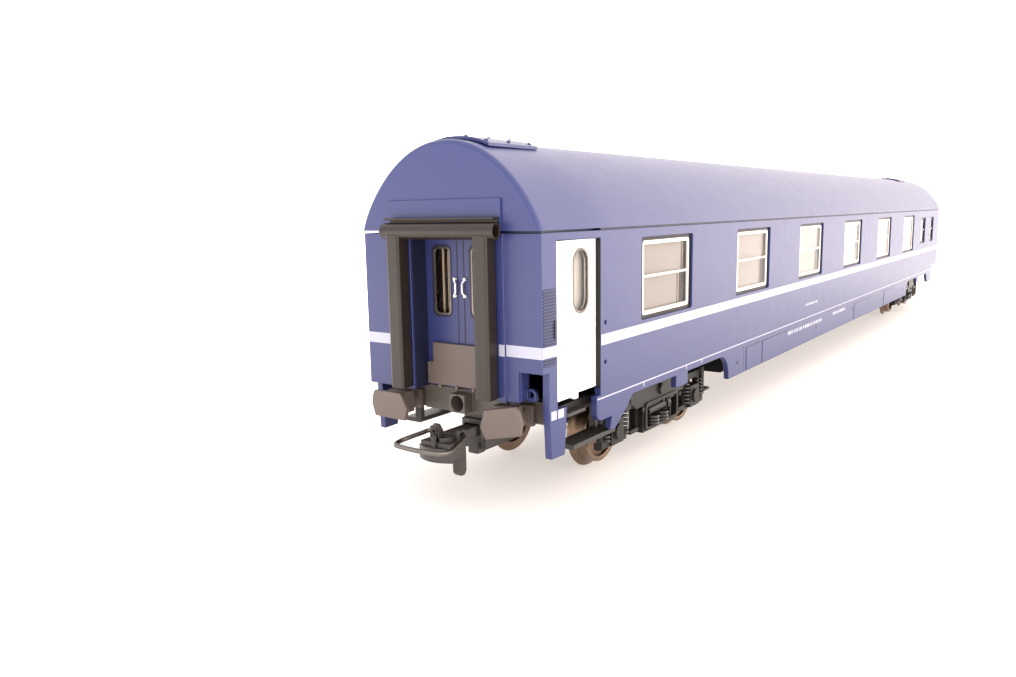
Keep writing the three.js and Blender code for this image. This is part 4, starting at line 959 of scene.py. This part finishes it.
def add_bogie_details(end, sign):
    """Springs, spring case, damper, brackets and bolts on both side frames of a bogie."""
    here = end_at(sign)
    body = f"bogie_{end}"
    case_outer = rounded_outline(34.1, 46.9, 4.15, 8.95, 0.9)
    case_inner = rounded_outline(34.75, 46.25, 4.75, 8.4, 0.5)
    springs, cases = bmesh.new(), bmesh.new()
    for side in (-1, 1):
        def place(s, out, z):
            return here(s, side * out, z)

        def face(s, z, depth):
            return here(s, side * (SIDE_FRAME_Y + depth), z)

        for axle_s in (PIVOT_S - HALF_WHEELBASE, PIVOT_S + HALF_WHEELBASE):
            for offset in (-3.1, 3.1):
                add_tube(springs, place, spring_points(axle_s + offset, **AXLE_SPRING), 0.2, 6)
        for s in (37.6, 41.2):
            add_tube(springs, place, spring_points(s, **CENTRE_SPRING), 0.27, 6)
        add_tube(cases, place, DAMPER, 0.72, 14)
        add_tube(cases, place, DAMPER_SLEEVE, 0.95, 14)
        add_ring(cases, case_outer, case_inner, face, -0.6, 0.3)
        for bracket in BOGIE_BRACKETS:
            add_block(cases, place, *bracket)
        for s in (40.9, 33.2, 47.6):
            add_tube(cases, place, [(s, 13.0, 8.1), (s, 13.45, 8.1)], 0.42, 12)
    finish_bm(springs, f"bogie_springs_{end}", "spring", body)
    finish_bm(cases, f"bogie_fittings_{end}", "bogie", body, 0.06)


# ------------------------------------------------------------------ couplers

LOOP_HALF = [
    (-0.8, 1.7, 10.2), (-0.8, 2.4, 10.2), (-1.15, 3.15, 10.2), (-2.0, 3.5, 10.05),
    (-4.2, 4.15, 9.75), (-6.2, 4.5, 9.45), (-7.05, 4.1, 9.4), (-7.4, 3.2, 9.4),
]
HOOK_PATH = [(-3.7, 0.0, 8.9), (-3.75, 0.0, 10.4), (-3.6, 0.0, 11.3), (-3.2, 0.0, 11.95)]
CUP_Z = 9.4


def add_coupler_details(end, sign):
    """Wire loop, and the cup and hook on the head, of one coupler."""
    here = end_at(sign)
    points = LOOP_HALF + [(s, -y, z) for s, y, z in reversed(LOOP_HALF)]
    node = f"coupling_loop_{end}"
    wire(f"{node}_piece", points, 0.33, "wire", f"loop_{end}", (node,), here)
    body = f"coupler_bar_{end}"

    def plan(s, y, depth):
        return here(s, y, CUP_Z + depth)

    cup = bmesh.new()
    outer = rounded_outline(-3.3, -0.2, -1.9, 1.9, 1.4, 6)
    inner = rounded_outline(-2.8, -0.7, -1.35, 1.35, 0.95, 6)
    add_ring(cup, outer, inner, plan, -0.2, 0.75)
    finish_bm(cup, f"coupler_cup_{end}", "coupler", body, 0.08)
    hook = bmesh.new()
    add_tube(hook, here, HOOK_PATH, 0.42, 10)
    finish_bm(hook, f"coupler_hook_{end}", "coupler", body)


# ------------------------------------------------------------------ build

add_camera()
add_world()
add_soft_light()
add_floor()
bpy.context.scene.view_settings.view_transform = "Standard"
bpy.context.scene.view_settings.exposure = 0.85

for node in ("body_shell", "roof_vent_front", "roof_vent_rear"):
    refined(node, "blue", 0.1)
for side in ("left", "right"):
    refined(f"entrance_door_{side}", "white", 0.08)
    refined(f"step_boards_{side}", "step", 0.06)
for node in ("underframe", "battery_box", "water_tank"):
    refined(node, "chassis", 0.08)
for end in ("front", "rear"):
    refined(f"gangway_door_{end}", "blue", 0.05)
    refined(f"footplate_{end}", "buffer", 0.06)
    refined(f"headstock_{end}", "beam", 0.08)
    refined(f"gangway_rubber_{end}", "rubber", 0.08)
    for side in ("left", "right"):
        refined(f"buffer_{side}_{end}", "buffer", 0.1)
        refined(f"side_frame_{end}_{side}", "bogie", 0.07)
    refined(f"bogie_frame_{end}", "bogie", 0.07)
    refined(f"coupler_slide_{end}", "chassis", 0.05)
    refined(f"drawbar_{end}", "coupler", 0.07)
    refined(f"coupler_head_{end}", "coupler", 0.07)
    refined(f"pivot_screw_{end}", "steel", 0.06)

add_printing()
add_data_marks()
add_louvres()
add_door_trim()
add_side_windows()
add_skirt_details()
add_roof()
add_roof_rivets()
add_wheelsets()
for end, sign in ENDS:
    add_end_details(end, sign)
    add_bogie_details(end, sign)
    add_coupler_details(end, sign)

CARRIED = {"door_glazing": "clear", "gangway_door_glazing": "clear", "interior": "cream", "ballast": "steel"}
for name, obj in NODES.items():
    if obj.hide_render:
        continue
    material = next(choice for start, choice in CARRIED.items() if name.startswith(start))
    obj.data.materials.clear()
    obj.data.materials.append(MAT[material])
